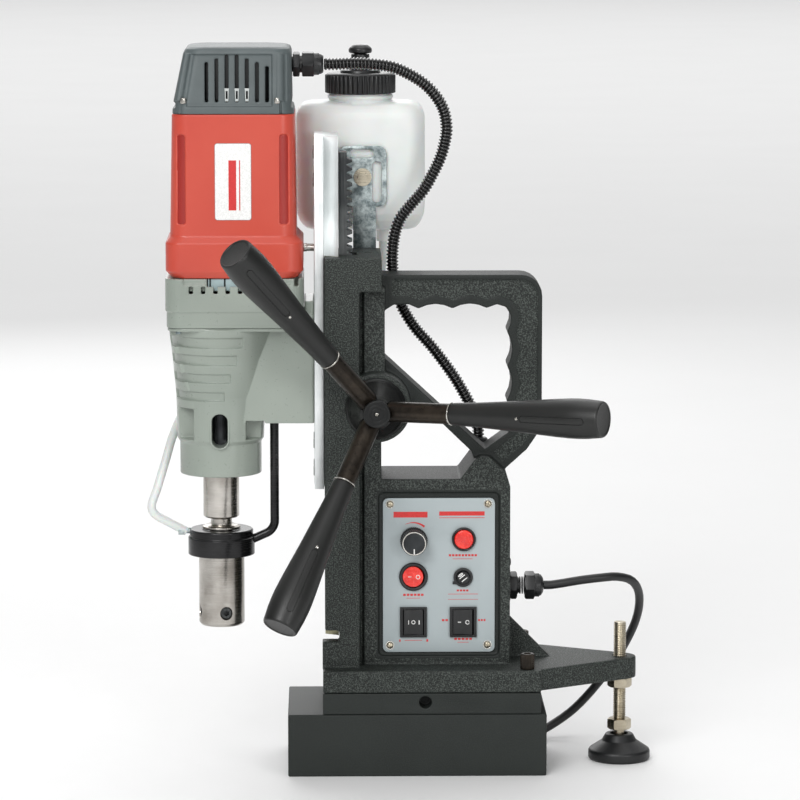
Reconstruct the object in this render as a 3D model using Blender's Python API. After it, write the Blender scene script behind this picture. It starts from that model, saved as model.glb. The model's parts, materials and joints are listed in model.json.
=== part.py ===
"""Magnetic drill press: magnet base, column with dovetail slide, motor unit, feed hub and coolant bottle.

Every length below is in millimetres. Shapes are built in millimetres about the world origin, which is the
centre of the magnet's bottom face, and are scaled to metres when their object is made. +X points from the
spindle towards the outrigger arm, +Y away from the control panel and +Z up.
"""

import math

import bmesh
import bpy
from mathutils import Matrix, Vector

MM = 0.001
GAP = 0.3  # clearance between neighbouring pieces

# Base
MAGNET_X, MAGNET_Y, MAGNET_Z = 102.5, 55.0, 50.0
COIL_X, COIL_Y, CORE_X, CORE_Y, COIL_TOP = 90.0, 43.0, 60.0, 17.0, 36.0
FOOT_LEFT, FOOT_RIGHT = -74.5, 98.0
PLATE_TOP, FOOT_TOP = 67.0, 85.0
BASE_BOLT_X, BASE_BOLT_Y = 87.3, 47.0

# Outrigger arm, levelling stud and its foot
STUD_X, STUD_Y = 164.5, 6.0
STUD_R, STUD_TOP = 5.1, 112.4
ARM_TIP_R, ARM_BOTTOM = 13.0, 67.6

# Column, control box and handle
COLUMN_LEFT, COLUMN_RIGHT, COLUMN_TOP, COLUMN_Y = -73.0, -27.8, 411.5, 42.0
SHOULDER_Z = 385.0
BOX_FRONT, BOX_RIGHT, BOX_TOP = -29.0, 74.2, 234.5
GROOVE_LEFT, GROOVE_RIGHT = -45.3, -42.0
WEB_Y = 29.0
HANDLE_Y = 18.0
RECESS_DEPTH = 1.2
CAVITY_FRONT, CAVITY_BACK = -21.5, 39.2

# Dovetail way, slide and rack
DOVETAIL_SLOPE = 0.609
WAY_HALF = 20.4
WAY_BOTTOM = 115.2
JAW_DEPTH = -61.5
SLIDE_FRONT, SLIDE_BACK, SLIDE_SHOULDER = -80.8, -61.8, -73.4
SLIDE_HALF, SLIDE_LOW, SLIDE_HIGH = 30.0, 227.0, 506.0
MODULE = 2.0
PINION_TEETH = 20
RACK_LOW, RACK_HIGH = 230.0, 492.0

# Feed hub and its three levers
HUB_X, HUB_Z = -32.4, 293.4
PINION_R = MODULE * PINION_TEETH / 2
BOSS_R, BOSS_Y = 27.5, 44.0
APEX_Y = -60.0
LEVER_TILT = math.radians(28.0)
LEVER_ANGLES = (129.0, 2.0, 244.0)
ROD_START, ROD_END, GRIP_START, GRIP_END = 11.8, 126.0, 66.4, 194.5

# Motor unit
SPINDLE_X = -155.6
MOTOR_X = -143.0
SPINDLE_R = 14.3
GEAR_MODULE = 1.5
ARMATURE_TEETH, INTERMEDIATE_TEETH, STEP_TEETH, SPINDLE_TEETH = 8, 26, 12, 28
SEAM_LOW, SEAM_MID, SEAM_TOP = 357.3, 396.6, 524.8
CAP_TOP = 576.6

# Panel
PANEL_LEFT, PANEL_RIGHT, PANEL_LOW, PANEL_HIGH = -26.9, 62.0, 95.1, 219.2
PANEL_FRONT, PANEL_BACK = -28.3, -26.8
FACE = PANEL_FRONT - GAP
KNOB = (-2.4, 185.4)
LAMP = (37.3, 186.3)
ROUND_SWITCH = (-2.7, 156.2)
FUSE = (36.8, 155.6)
LEFT_SWITCH = (-2.7, 119.5)
RIGHT_SWITCH = (36.9, 119.5)
ROCKER_PIVOT_Y = -27.0
ROCKER_TILT = math.radians(8.0)

# Coolant bottle
BOTTLE_X, BOTTLE_Y = -43.4, 77.5
BOTTLE_HALF_X, BOTTLE_HALF_Y = 51.9, 31.0
OUTLET_X = -25.1

# Mains lead: 3 m of 7 mm cord
CORD_R = 3.5
GLAND_Y, GLAND_Z, GLAND_END = 6.0, 142.6, 102.5
COIL_CENTRE = (20.0, 130.0)
COIL_RADIUS = 42.0
COIL_LAYERS, COIL_COLUMNS = 2, 5
PLUG_OFFSET, PLUG_Z = 56.0, 13.1

CORD_ROUTE = [
    (102.8, 6.0, 142.6), (109.0, 6.0, 142.7), (119.0, 6.0, 144.2), (133.0, 6.5, 146.4),
    (148.0, 8.5, 147.8), (163.0, 14.5, 147.6), (176.0, 27.0, 141.5), (183.0, 44.0, 126.5),
    (182.0, 62.0, 103.5), (172.0, 78.0, 76.0), (155.0, 86.0, 48.0), (134.0, 87.0, 24.0),
    (112.0, 81.0, 9.5), (98.0, 73.5, 5.2), (86.0, 67.4, 3.9), (74.0, 64.0, 3.8), (64.0, 63.8, 3.8),
    (55.0, 65.8, 3.8), (46.0, 69.5, 3.8),
]
CONDUIT_ROUTE = [
    (-72.7, 0.0, 561.1), (-64.0, 0.0, 561.1), (-50.0, 0.6, 561.5), (-35.0, 2.0, 560.9),
    (-16.7, 5.0, 557.9), (1.5, 9.0, 548.6), (13.4, 11.5, 538.2), (21.5, 14.0, 525.2),
    (24.4, 16.0, 511.3), (23.5, 18.0, 500.1), (19.8, 20.0, 486.1), (13.4, 22.0, 472.1),
    (6.0, 24.0, 459.0), (-5.0, 26.0, 446.0), (-13.0, 27.5, 434.5), (-17.4, 28.5, 418.3),
    (-18.3, 29.5, 397.9), (-15.6, 30.0, 380.0), (-10.5, 30.0, 365.3), (-0.3, 30.0, 348.6),
    (14.3, 30.0, 331.8), (28.8, 30.0, 312.3), (36.9, 30.0, 299.3), (44.1, 30.0, 286.0),
    (49.4, 30.0, 273.5), (50.6, 30.0, 266.0), (50.6, 30.0, 259.8),
]
COOLANT_ROUTE = [
    (-25.1, 77.5, 413.0), (-25.6, 77.0, 396.0), (-31.0, 75.0, 372.0), (-46.0, 70.0, 345.0),
    (-70.0, 64.0, 322.0), (-100.0, 58.0, 304.0), (-132.0, 53.0, 292.0), (-162.0, 47.0, 286.0),
    (-184.0, 36.0, 281.0), (-194.0, 22.0, 264.0), (-200.5, 12.0, 243.0), (-207.0, 5.0, 222.0),
    (-211.3, 1.0, 209.0), (-208.5, 0.0, 202.0), (-199.0, 0.0, 196.5), (-191.0, 0.0, 192.2),
    (-183.3, 0.0, 188.2),
]


# ---------------------------------------------------------------- shape tools


def arc(centre_u, centre_v, radius, start_deg, end_deg, steps):
    """Points of an arc in a plane, both ends included."""
    turns = [math.radians(start_deg + (end_deg - start_deg) * i / steps) for i in range(steps + 1)]
    return [(centre_u + radius * math.cos(a), centre_v + radius * math.sin(a)) for a in turns]


def round_rect(left, right, low, high, radius, steps=3):
    """Outline of a rectangle with round corners, anticlockwise."""
    corners = (
        (right - radius, low + radius, -90), (right - radius, high - radius, 0),
        (left + radius, high - radius, 90), (left + radius, low + radius, 180),
    )
    return [p for u, v, start in corners for p in arc(u, v, radius, start, start + 90, steps)]


def place(u, v, w, axis):
    """The point at (u, v) in the plane across the axis and at w along it."""
    return {"X": (w, u, v), "Y": (u, w, v), "Z": (u, v, w)}[axis]


def loft(loops):
    """Closed solid through loops that have the same number of points."""
    bm = bmesh.new()
    rings = [[bm.verts.new(p) for p in loop] for loop in loops]
    count = len(rings[0])
    bm.faces.new(rings[0])
    bm.faces.new(rings[-1])
    for lower, upper in zip(rings, rings[1:]):
        for i in range(count):
            j = (i + 1) % count
            bm.faces.new((lower[i], lower[j], upper[j], upper[i]))
    bmesh.ops.recalc_face_normals(bm, faces=bm.faces)
    return bm


def prism(outline, low, high, axis="Y"):
    """An outline in the plane across the axis, extruded along it."""
    return loft([[place(u, v, w, axis) for u, v in outline] for w in (low, high)])


def block(x, y, z):
    """A box from its three (low, high) pairs."""
    return prism([(x[0], y[0]), (x[1], y[0]), (x[1], y[1]), (x[0], y[1])], z[0], z[1], "Z")


def turned(profile, centre=(0.0, 0.0), axis="Z", segments=24):
    """A (radius, position) profile turned about the axis; it closes at radius 0 or back on itself."""
    bm = bmesh.new()
    columns = []
    for k in range(segments):
        a = 2 * math.pi * (k + 0.5) / segments
        columns.append((math.cos(a), math.sin(a)))
    rings = []
    for radius, position in profile:
        if radius == 0:
            rings.append([bm.verts.new(place(*centre, position, axis))] * segments)
            continue
        ring = [place(centre[0] + radius * c, centre[1] + radius * s, position, axis) for c, s in columns]
        rings.append([bm.verts.new(p) for p in ring])
    pairs = list(zip(rings, rings[1:]))
    if profile[0][0] > 0 or profile[-1][0] > 0:
        pairs.append((rings[-1], rings[0]))
    for first, second in pairs:
        for k in range(segments):
            j = (k + 1) % segments
            corners = dict.fromkeys((first[k], first[j], second[j], second[k]))
            if len(corners) > 2:
                bm.faces.new(corners)
    bmesh.ops.recalc_face_normals(bm, faces=bm.faces)
    return bm


def rod(radius, low, high, centre=(0.0, 0.0), axis="Z", segments=18):
    """A plain cylinder."""
    return turned([(0, low), (radius, low), (radius, high), (0, high)], centre, axis, segments)


def ring(outer, inner, low, high, centre=(0.0, 0.0), axis="Z", segments=24):
    """A plain ring."""
    return turned([(outer, low), (outer, high), (inner, high), (inner, low)], centre, axis, segments)


def moved(bm, matrix):
    bmesh.ops.transform(bm, matrix=matrix, verts=bm.verts)
    return bm


def spare_object(bm):
    mesh = bpy.data.meshes.new("spare")
    bm.to_mesh(mesh)
    bm.free()
    obj = bpy.data.objects.new("spare", mesh)
    bpy.context.scene.collection.objects.link(obj)
    return obj


def combine(base, tool, operation):
    """The base with the tool joined (UNION), cut away (DIFFERENCE) or kept in common (INTERSECT)."""
    first, second = spare_object(base), spare_object(tool)
    modifier = first.modifiers.new("boolean", "BOOLEAN")
    modifier.operation = operation
    modifier.solver = "EXACT"
    modifier.object = second
    graph = bpy.context.evaluated_depsgraph_get()
    result = bpy.data.meshes.new_from_object(first.evaluated_get(graph))
    bm = bmesh.new()
    bm.from_mesh(result)
    bpy.data.meshes.remove(result)
    for obj in (first, second):
        mesh = obj.data
        bpy.data.objects.remove(obj)
        bpy.data.meshes.remove(mesh)
    return bm


def joined(base, *tools):
    for tool in tools:
        base = combine(base, tool, "UNION")
    return base


def cut(base, *tools):
    for tool in tools:
        base = combine(base, tool, "DIFFERENCE")
    return base


MATERIALS = {
    "black_paint": ((0.035, 0.038, 0.037), 0.75, 0.0),
    "magnet_paint": ((0.042, 0.045, 0.045), 0.55, 0.0),
    "resin": ((0.03, 0.03, 0.032), 0.4, 0.0),
    "brass": ((0.52, 0.38, 0.16), 0.35, 1.0),
    "bronze": ((0.42, 0.28, 0.12), 0.4, 1.0),
    "panel": ((0.43, 0.48, 0.5), 0.45, 0.2),
    "black_plastic": ((0.02, 0.02, 0.021), 0.35, 0.0),
    "red_plastic": ((0.68, 0.03, 0.02), 0.25, 0.0),
    "board": ((0.03, 0.16, 0.07), 0.5, 0.0),
    "rubber": ((0.015, 0.015, 0.016), 0.6, 0.0),
    "anodised": ((0.75, 0.77, 0.77), 0.3, 1.0),
    "steel": ((0.42, 0.40, 0.37), 0.25, 1.0),
    "dark_steel": ((0.07, 0.07, 0.075), 0.4, 1.0),
    "black_steel": ((0.03, 0.027, 0.025), 0.35, 0.8),
    "nickel": ((0.6, 0.56, 0.48), 0.25, 1.0),
    "zinc": ((0.5, 0.54, 0.55), 0.4, 1.0),
    "gearbox_paint": ((0.34, 0.39, 0.34), 0.45, 0.0),
    "red_paint": ((0.66, 0.08, 0.045), 0.4, 0.0),
    "cap_plastic": ((0.065, 0.08, 0.086), 0.5, 0.0),
    "bottle": ((0.75, 0.78, 0.76), 0.3, 0.0),
    "clear_tube": ((0.7, 0.74, 0.74), 0.25, 0.0),
    "copper": ((0.5, 0.2, 0.08), 0.35, 1.0),
}


def material(name):
    found = bpy.data.materials.get(name)
    if found:
        return found
    colour, roughness, metallic = MATERIALS[name]
    made = bpy.data.materials.new(name)
    made.use_nodes = True
    shader = made.node_tree.nodes["Principled BSDF"]
    shader.inputs["Base Color"].default_value = (*colour, 1.0)
    shader.inputs["Roughness"].default_value = roughness
    shader.inputs["Metallic"].default_value = metallic
    return made


def piece(name, bm, finish, origin=(0.0, 0.0, 0.0)):
    """One named object in metres, with its own origin at the point given in millimetres."""
    bmesh.ops.translate(bm, verts=bm.verts, vec=-Vector(origin))
    bmesh.ops.scale(bm, verts=bm.verts, vec=(MM, MM, MM))
    mesh = bpy.data.meshes.new(name)
    bm.to_mesh(mesh)
    bm.free()
    mesh.shade_smooth()
    mesh.set_sharp_from_angle(angle=math.radians(32))
    obj = bpy.data.objects.new(name, mesh)
    obj.location = Vector(origin) * MM
    bpy.context.scene.collection.objects.link(obj)
    mesh.materials.append(material(finish))
    return obj


def smooth_route(route, spacing):
    """Points about a spacing apart on a Catmull-Rom curve through the route."""
    points = [Vector(p) for p in route]
    padded = [2 * points[0] - points[1], *points, 2 * points[-1] - points[-2]]
    fine = [points[0]]
    for a, b, c, d in zip(padded, padded[1:], padded[2:], padded[3:]):
        steps = max(1, round((c - b).length / spacing))
        for i in range(1, steps + 1):
            t = i / steps
            square, cube = 2 * a - 5 * b + 4 * c - d, 3 * b - a - 3 * c + d
            curve = 2 * b + (c - a) * t + square * t**2 + cube * t**3
            fine.append(curve / 2)
    return fine


def tube(name, route, radius, finish, resolution):
    """A round tube along a smooth route, as a capped curve."""
    points = smooth_route(route, radius * 5)
    data = bpy.data.curves.new(name, "CURVE")
    data.dimensions = "3D"
    data.bevel_depth = radius * MM
    data.bevel_resolution = resolution
    data.use_fill_caps = True
    spline = data.splines.new("POLY")
    spline.points.add(len(points) - 1)
    for slot, point in zip(spline.points, points):
        slot.co = (*(point * MM), 1.0)
    data.materials.append(material(finish))
    obj = bpy.data.objects.new(name, data)
    bpy.context.scene.collection.objects.link(obj)
    return obj


def gear_outline(teeth, module, thickness, phase_deg=0.0, addendum=0.9, dedendum=1.2):
    """Outline of a spur gear with straight flanks; thickness is the tooth's share of the pitch."""
    pitch_r = module * teeth / 2
    slope = math.tan(math.radians(20))
    points = []
    for tooth in range(teeth):
        middle = math.radians(phase_deg) + 2 * math.pi * tooth / teeth
        half = math.pi * module * thickness / 2
        root_r, tip_r = pitch_r - dedendum * module, pitch_r + addendum * module
        root_half = (half + dedendum * module * slope) / root_r
        tip_half = (half - addendum * module * slope) / tip_r
        if teeth < 17:
            root_half = half / pitch_r
        flanks = ((root_r, -root_half), (tip_r, -tip_half), (tip_r, tip_half), (root_r, root_half))
        for radius, turn in flanks:
            points.append((radius * math.cos(middle + turn), radius * math.sin(middle + turn)))
    return points


def gear(teeth, module, low, high, centre, axis="Z", thickness=0.42, phase_deg=0.0):
    outline = gear_outline(teeth, module, thickness, phase_deg)
    return prism([(centre[0] + u, centre[1] + v) for u, v in outline], low, high, axis)


# ---------------------------------------------------------------- base


def make_magnet():
    shell = block((-MAGNET_X, MAGNET_X), (-MAGNET_Y, MAGNET_Y), (0, MAGNET_Z))
    bmesh.ops.bevel(shell, geom=list(shell.edges), offset=0.8, segments=1, affect="EDGES")
    trench = block((-COIL_X, COIL_X), (-COIL_Y, COIL_Y), (-1, COIL_TOP))
    core = block((-CORE_X, CORE_X), (-CORE_Y, CORE_Y), (-2, COIL_TOP + 1))
    piece("magnet_housing", cut(shell, cut(trench, core)), "magnet_paint")
    coil = block((-COIL_X + GAP, COIL_X - GAP), (-COIL_Y + GAP, COIL_Y - GAP), (0.6, COIL_TOP - GAP))
    hole = block((-CORE_X - GAP, CORE_X + GAP), (-CORE_Y - GAP, CORE_Y + GAP), (0, COIL_TOP))
    piece("magnet_coil", cut(coil, hole), "resin")


def make_base_plate():
    plate = block((FOOT_LEFT - 0.2, FOOT_RIGHT), (-MAGNET_Y, MAGNET_Y), (MAGNET_Z + GAP, PLATE_TOP))
    chain_hole = rod(5.0, -MAGNET_Y - 1, -MAGNET_Y + 14, (6.3, 59.8), "Y", 16)
    bolt_holes = [rod(4.5, 57, 70, (BASE_BOLT_X, side * BASE_BOLT_Y), "Z", 10) for side in (-1, 1)]
    piece("base_plate", cut(plate, chain_hole, *bolt_holes), "magnet_paint")


def make_base_bolts():
    """Socket head screws that hold the frame's foot to the base plate."""
    for name, side in (("base_bolt_front", -1), ("base_bolt_rear", 1)):
        centre = (BASE_BOLT_X, side * BASE_BOLT_Y)
        seat = FOOT_TOP + GAP
        screw = turned(
            [(0, 58), (4, 58), (4, seat), (5.7, seat), (5.7, seat + 12.2), (0, seat + 12.2)], centre,
            "Z", 14,
        )
        socket = rod(3.4, seat + 7, seat + 13, centre, "Z", 6)
        piece(name, cut(screw, socket), "black_steel")


# ---------------------------------------------------------------- frame casting


def handle_outer():
    """Outer edge of the handle plate, from its root inside the column round to its foot on the box."""
    return [
        (-40, 230), (68, 230), (70.2, 240.8), (87.8, 256.7), (95.6, 268.3), (99.4, 290),
        *arc(82.4, 378.9, 17, 0, 90, 6), (-40, 395.9),
    ]


def scallops(cusps, bulge):
    """Shallow finger dips between the cusps, each pushed out by the bulge."""
    points = []
    for (u0, v0), (u1, v1) in zip(cusps, cusps[1:]):
        length = math.hypot(u1 - u0, v1 - v0)
        normal = ((v1 - v0) / length, -(u1 - u0) / length)
        for i in range(4):
            t = i / 4
            push = bulge * 4 * t * (1 - t)
            points.append((u0 + (u1 - u0) * t + normal[0] * push, v0 + (v1 - v0) * t + normal[1] * push))
    return [*points, cusps[-1]]


def handle_opening():
    """The hand hole: straight by the column and brace, scalloped under the grip and down its right side."""
    under_grip = scallops([(55.4, 369.5), (28.4, 369.2), (1.4, 369.1)], 3.6)
    right_side = scallops([(71.4, 295.6), (71.7, 323.3), (71.6, 350.5)], 4.0)
    return [
        (COLUMN_RIGHT, 332.4), (54.2, 256.8), (73.3, 270.6), (75.6, 284.0),
        *right_side, (74.2, 357.0), (74.6, 363.5), (70.5, 370.3), (63.5, 372.4), *under_grip,
        (-6.0, 372.4), (-18.0, 372.3), (COLUMN_RIGHT, 366.0),
    ]


def handle_field():
    """The sunk textured field that follows the handle between its rims."""
    return [
        (-19.4, 392.4), (-19.4, 379.3), (-8, 379.4), (1.4, 375.8), (14.5, 380), (28.4, 375.9),
        (42, 380), (55.4, 376.4), (66, 379.6), (76, 375), (81.2, 366), (80.6, 356), (78.3, 350.2),
        (82.2, 337), (78.4, 323.3), (82.0, 309), (78.0, 295.8), (82, 284), (80, 270), (61, 254.5),
        (68, 246.5), (84, 260), (91.6, 270.5), (95.6, 291), *arc(82.2, 378.7, 13.6, 0, 90, 5),
    ]


def lower_window():
    """The opening between the column, the feed boss, the brace and the control box."""
    return [
        (-28.1, BOX_TOP), (34.5, BOX_TOP), (45.6, 249.5), (43.6, 255.0), (13.0, 284.5), (-28.1, 284.5),
    ]


def box_outline():
    return [
        (GROOVE_RIGHT, FOOT_TOP - 2), (BOX_RIGHT, FOOT_TOP - 2), (BOX_RIGHT, 228), (70.5, 240.5),
        (58, 252), (50, 252.5), (45.6, 249.5), (34.5, BOX_TOP), (GROOVE_RIGHT, BOX_TOP),
    ]


def arm_outline():
    """Plan of the outrigger: wide at the foot, tapering to a round tip about the stud."""
    tip = arc(STUD_X, STUD_Y, ARM_TIP_R, -56, 56, 8)
    return [(FOOT_RIGHT - 6, -50), (FOOT_RIGHT, -50), *tip, (FOOT_RIGHT, 55), (FOOT_RIGHT - 6, 55)]


def dovetail(half, left, right, slope=DOVETAIL_SLOPE):
    """Plan of a dovetail that widens from the column's face inwards."""
    low, high = half + slope * (left - COLUMN_LEFT), half + slope * (right - COLUMN_LEFT)
    return [(left, -low), (right, -high), (right, high), (left, low)]


def frame_solids():
    """Everything the casting is made of, before its openings are cut."""
    foot = block((FOOT_LEFT, FOOT_RIGHT), (-MAGNET_Y, MAGNET_Y), (PLATE_TOP + GAP, FOOT_TOP))
    arm = prism(arm_outline(), ARM_BOTTOM, FOOT_TOP - 0.1, "Z")
    gusset = prism(
        [(BOX_RIGHT - 3, FOOT_TOP - 2), (109.6, FOOT_TOP - 2), (BOX_RIGHT - 3, 122.0)], 2.0, 10.0,
    )
    column = block(
        (COLUMN_LEFT, GROOVE_LEFT + 20), (-COLUMN_Y, COLUMN_Y), (FOOT_TOP - 2, SHOULDER_Z + 2),
    )
    trim = block((GROOVE_LEFT, GROOVE_LEFT + 40), (-60, -WEB_Y), (FOOT_TOP, SHOULDER_Z))
    trim_back = block((GROOVE_LEFT, GROOVE_LEFT + 40), (WEB_Y, 60), (BOX_TOP, SHOULDER_Z))
    crown = block((COLUMN_LEFT, COLUMN_RIGHT), (-COLUMN_Y, COLUMN_Y), (SHOULDER_Z, COLUMN_TOP))
    web = block((GROOVE_LEFT - 1, COLUMN_RIGHT), (-WEB_Y, WEB_Y), (FOOT_TOP - 1, SHOULDER_Z + 1))
    box = prism(box_outline(), BOX_FRONT, COLUMN_Y)
    plate = cut(prism(handle_outer(), -HANDLE_Y, HANDLE_Y), prism(handle_opening(), -60, 60))
    boss = rod(BOSS_R, -BOSS_Y, BOSS_Y, (HUB_X, HUB_Z), "Y", 28)
    stop = block((-75.0, JAW_DEPTH + 1), (0.4 - COLUMN_Y, -27.0), (FOOT_TOP - 1, 106.2))
    column = cut(column, trim, trim_back)
    return joined(foot, arm, column, crown, web, box, plate, gusset), boss, stop


def frame_ways():
    """Cutters for the dovetail, the rack slot, the pinion chamber and the shaft's bearings."""
    way = prism(dovetail(WAY_HALF, COLUMN_LEFT - 8, JAW_DEPTH), WAY_BOTTOM, COLUMN_TOP + 5, "Z")
    below = block((-90, JAW_DEPTH), (-60, 60), (FOOT_TOP + 0.4, WAY_BOTTOM))
    rack_slot = block((JAW_DEPTH - 0.5, -47.0), (-11, 11), (108.6, COLUMN_TOP + 5))
    chamber = rod(PINION_R + 3.4, -11.3, 11.3, (HUB_X, HUB_Z), "Y", 24)
    bearings = rod(14.3, -60, 60, (HUB_X, HUB_Z), "Y", 18)
    oil_hole = rod(3.0, COLUMN_TOP - 12, COLUMN_TOP + 5, (-38.0, 8.0), "Z", 10)
    return way, below, rack_slot, chamber, bearings, oil_hole


def frame_box_cuts():
    """Cutters for the control box: panel seat, front window, inner space, cover seat and cord holes."""
    seat = prism(round_rect(-30.5, 65.6, 92.0, 223.8, 4), BOX_FRONT - 5, BOX_FRONT + 2.5)
    window = block((-20, 56), (-27, -20), (101, 213))
    space = block((-36.5, 69.0), (CAVITY_FRONT, 60), (90.5, 228.5))
    rear_seat = block((-39.0, 71.5), (CAVITY_BACK, 60), (88.0, 231.5))
    gland_hole = rod(8.5, 60, 90, (GLAND_Y, GLAND_Z), "X", 16)
    conduit_hole = rod(6.5, 220, 260, (50.6, 30.0), "Z", 14)
    groove = block((GROOVE_LEFT, GROOVE_RIGHT), (-60, -25), (FOOT_TOP, SHOULDER_Z))
    return seat, window, space, rear_seat, gland_hole, conduit_hole, groove


def make_frame():
    base, boss, stop = frame_solids()
    way, below, rack_slot, chamber, bearings, oil_hole = frame_ways()
    openings = (prism(lower_window(), -60, 60), prism(handle_field(), -60, -HANDLE_Y + RECESS_DEPTH))
    back_field = prism(handle_field(), HANDLE_Y - RECESS_DEPTH, 25)
    frame = cut(base, *openings, back_field)
    frame = cut(joined(frame, boss), way, below, rack_slot, chamber, bearings, oil_hole)
    frame = joined(frame, stop)
    frame = cut(frame, *frame_box_cuts())
    stud_hole = rod(STUD_R + 0.5, 60, 100, (STUD_X, STUD_Y), "Z", 16)
    bolt_holes = [rod(4.5, 60, 100, (BASE_BOLT_X, side * BASE_BOLT_Y), "Z", 10) for side in (-1, 1)]
    piece("frame_casting", cut(frame, stud_hole, *bolt_holes), "black_paint")


def make_gib():
    """Brass wear strip between the front jaw and the slide."""
    def line(offset, x):
        return -(WAY_HALF + DOVETAIL_SLOPE * (x - COLUMN_LEFT)) + offset
    left, right = COLUMN_LEFT + 0.3, JAW_DEPTH - 0.4
    plan = [
        (left, line(0.35, left)), (left, line(3.05, left)), (right, line(3.05, right)),
        (right, line(0.35, right)),
    ]
    piece("gib_strip", prism(plan, 108.6, COLUMN_TOP - 0.2, "Z"), "brass")


def make_rear_cover():
    cover = block((-38.7, 71.2), (CAVITY_BACK + GAP, COLUMN_Y - 0.2), (88.3, 231.2))
    piece("rear_cover", cover, "black_paint")


# ---------------------------------------------------------------- control panel


def make_panel():
    plate = prism(
        round_rect(PANEL_LEFT, PANEL_RIGHT, PANEL_LOW, PANEL_HIGH, 4), PANEL_FRONT, PANEL_BACK,
    )
    holes = [
        rod(radius, PANEL_FRONT - 2, PANEL_BACK + 2, centre, "Y", 16)
        for radius, centre in ((3.6, KNOB), (7.4, LAMP), (9.8, ROUND_SWITCH), (6.4, FUSE))
    ]
    holes += [
        block((x - 9.8, x + 9.8), (PANEL_FRONT - 2, PANEL_BACK + 2), (z - 11.3, z + 11.3))
        for x, z in (LEFT_SWITCH, RIGHT_SWITCH)
    ]
    piece("control_panel", cut(plate, *holes), "panel")


def make_lamp():
    x, z = LAMP
    bezel = turned(
        [
            (0, -14), (7.0, -14), (7.0, FACE), (9.5, FACE), (9.5, FACE - 2.0), (7.9, FACE - 2.6),
            (7.9, FACE - 0.8), (0, FACE - 0.8),
        ],
        (x, z), "Y", 20,
    )
    piece("lamp_bezel", bezel, "black_plastic")
    lens = turned(
        [(0, FACE - 1.1), (7.6, FACE - 1.1), (7.6, FACE - 2.6), (5.2, FACE - 4.0), (0, FACE - 4.6)],
        (x, z), "Y", 20,
    )
    piece("lamp_lens", lens, "red_plastic")


def make_fuse():
    x, z = FUSE
    holder = turned(
        [
            (0, -5), (6.0, -5), (6.0, FACE), (7.7, FACE), (7.7, FACE - 1.6), (5.6, FACE - 1.6),
            (5.6, FACE + 4), (0, FACE + 4),
        ],
        (x, z), "Y", 18,
    )
    piece("fuse_holder", holder, "black_plastic")
    cap = turned(
        [(0, FACE + 3.6), (5.2, FACE + 3.6), (5.2, FACE - 4.2), (4.2, FACE - 4.8), (0, FACE - 4.8)],
        (x, z), "Y", 16,
    )
    slot = block((x - 6, x + 6), (FACE - 6, FACE - 3.6), (z - 0.7, z + 0.7))
    piece("fuse_cap", cut(cap, slot), "black_plastic", (x, FACE, z))


def make_speed_knob():
    x, z = KNOB
    profile = [
        (0, -20), (3.0, -20), (3.0, FACE - 0.7), (11.0, FACE - 0.7), (11.0, FACE - 3.6),
        (10.0, FACE - 4.4), (9.7, FACE - 15.4), (9.2, FACE - 16.0), (0, FACE - 16.0),
    ]
    piece("speed_knob", turned(profile, (x, z), "Y", 24), "black_plastic", (x, FACE, z))


def rocker_section(half):
    """Plan of a rocker about its pivot: a shallow V in front and a narrow foot behind."""
    return [
        (-half, -4.2), (0, -3.0), (half, -4.2), (half - 0.5, 1.0), (3.6, 4.6), (-3.6, 4.6),
        (-half + 0.5, 1.0),
    ]


def make_switch(name, centre, half_x, half_z, tilt):
    """A rectangular snap-in switch: its frame, and its rocker on a pivot along Z."""
    x, z = centre
    flange = block((x - half_x, x + half_x), (FACE - 2.0, FACE), (z - half_z, z + half_z))
    body = block((x - 9.5, x + 9.5), (FACE - 1, -10), (z - 11, z + 11))
    pocket = block((x - 8.4, x + 8.4), (FACE - 5, -16), (z - 10.4, z + 10.4))
    piece(f"{name}_switch_frame", cut(joined(flange, body), pocket), "black_plastic")
    section = [(x + u, ROCKER_PIVOT_Y + v) for u, v in rocker_section(7.6)]
    rocker = prism(section, z - 10.0, z + 10.0, "Z")
    pivot = Vector((x, ROCKER_PIVOT_Y, z))
    turn = Matrix.Translation(pivot) @ Matrix.Rotation(tilt, 4, "Z") @ Matrix.Translation(-pivot)
    piece(f"{name}_rocker", moved(rocker, turn), "black_plastic", tuple(pivot))


def make_round_switch():
    x, z = ROUND_SWITCH
    profile = [
        (0, -10), (9.3, -10), (9.3, FACE), (11.4, FACE), (11.4, FACE - 1.4), (10.6, FACE - 2.2),
        (8.9, FACE - 2.2), (8.9, -16), (0, -16),
    ]
    piece("magnet_switch_frame", turned(profile, (x, z), "Y", 24), "black_plastic")
    section = [(x + u, ROCKER_PIVOT_Y + v) for u, v in rocker_section(8.4)]
    rocker = combine(
        prism(section, z - 9, z + 9, "Z"), rod(8.1, -40, -15, (x, z), "Y", 16), "INTERSECT",
    )
    pivot = Vector((x, ROCKER_PIVOT_Y, z))
    turn = Matrix.Translation(pivot) @ Matrix.Rotation(
        -ROCKER_TILT * 0.75, 4, "Z",
    ) @ Matrix.Translation(-pivot)
    piece("magnet_rocker", moved(rocker, turn), "red_plastic", tuple(pivot))


def make_control_board():
    """Circuit board inside the box, with its transformer, capacitor and heat sink."""
    board = block((-30, 62), (27.0, 28.6), (98, 220))
    transformer = block((-22, 16), (6, 27.5), (166, 206))
    capacitor = rod(9, 4, 27.5, (42, 190), "Y", 14)
    heat_sink = block((-20, 40), (12, 27.5), (110, 130))
    piece("control_board", joined(board, transformer, capacitor, heat_sink), "board")


# ---------------------------------------------------------------- glands, cords and hoses


def hexagon(across_flats):
    radius = across_flats / math.sqrt(3)
    return [(radius * math.cos(math.pi * k / 3), radius * math.sin(math.pi * k / 3)) for k in range(6)]


def hex_block(across_flats, low, high, centre, axis):
    return prism([(centre[0] + u, centre[1] + v) for u, v in hexagon(across_flats)], low, high, axis)


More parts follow.
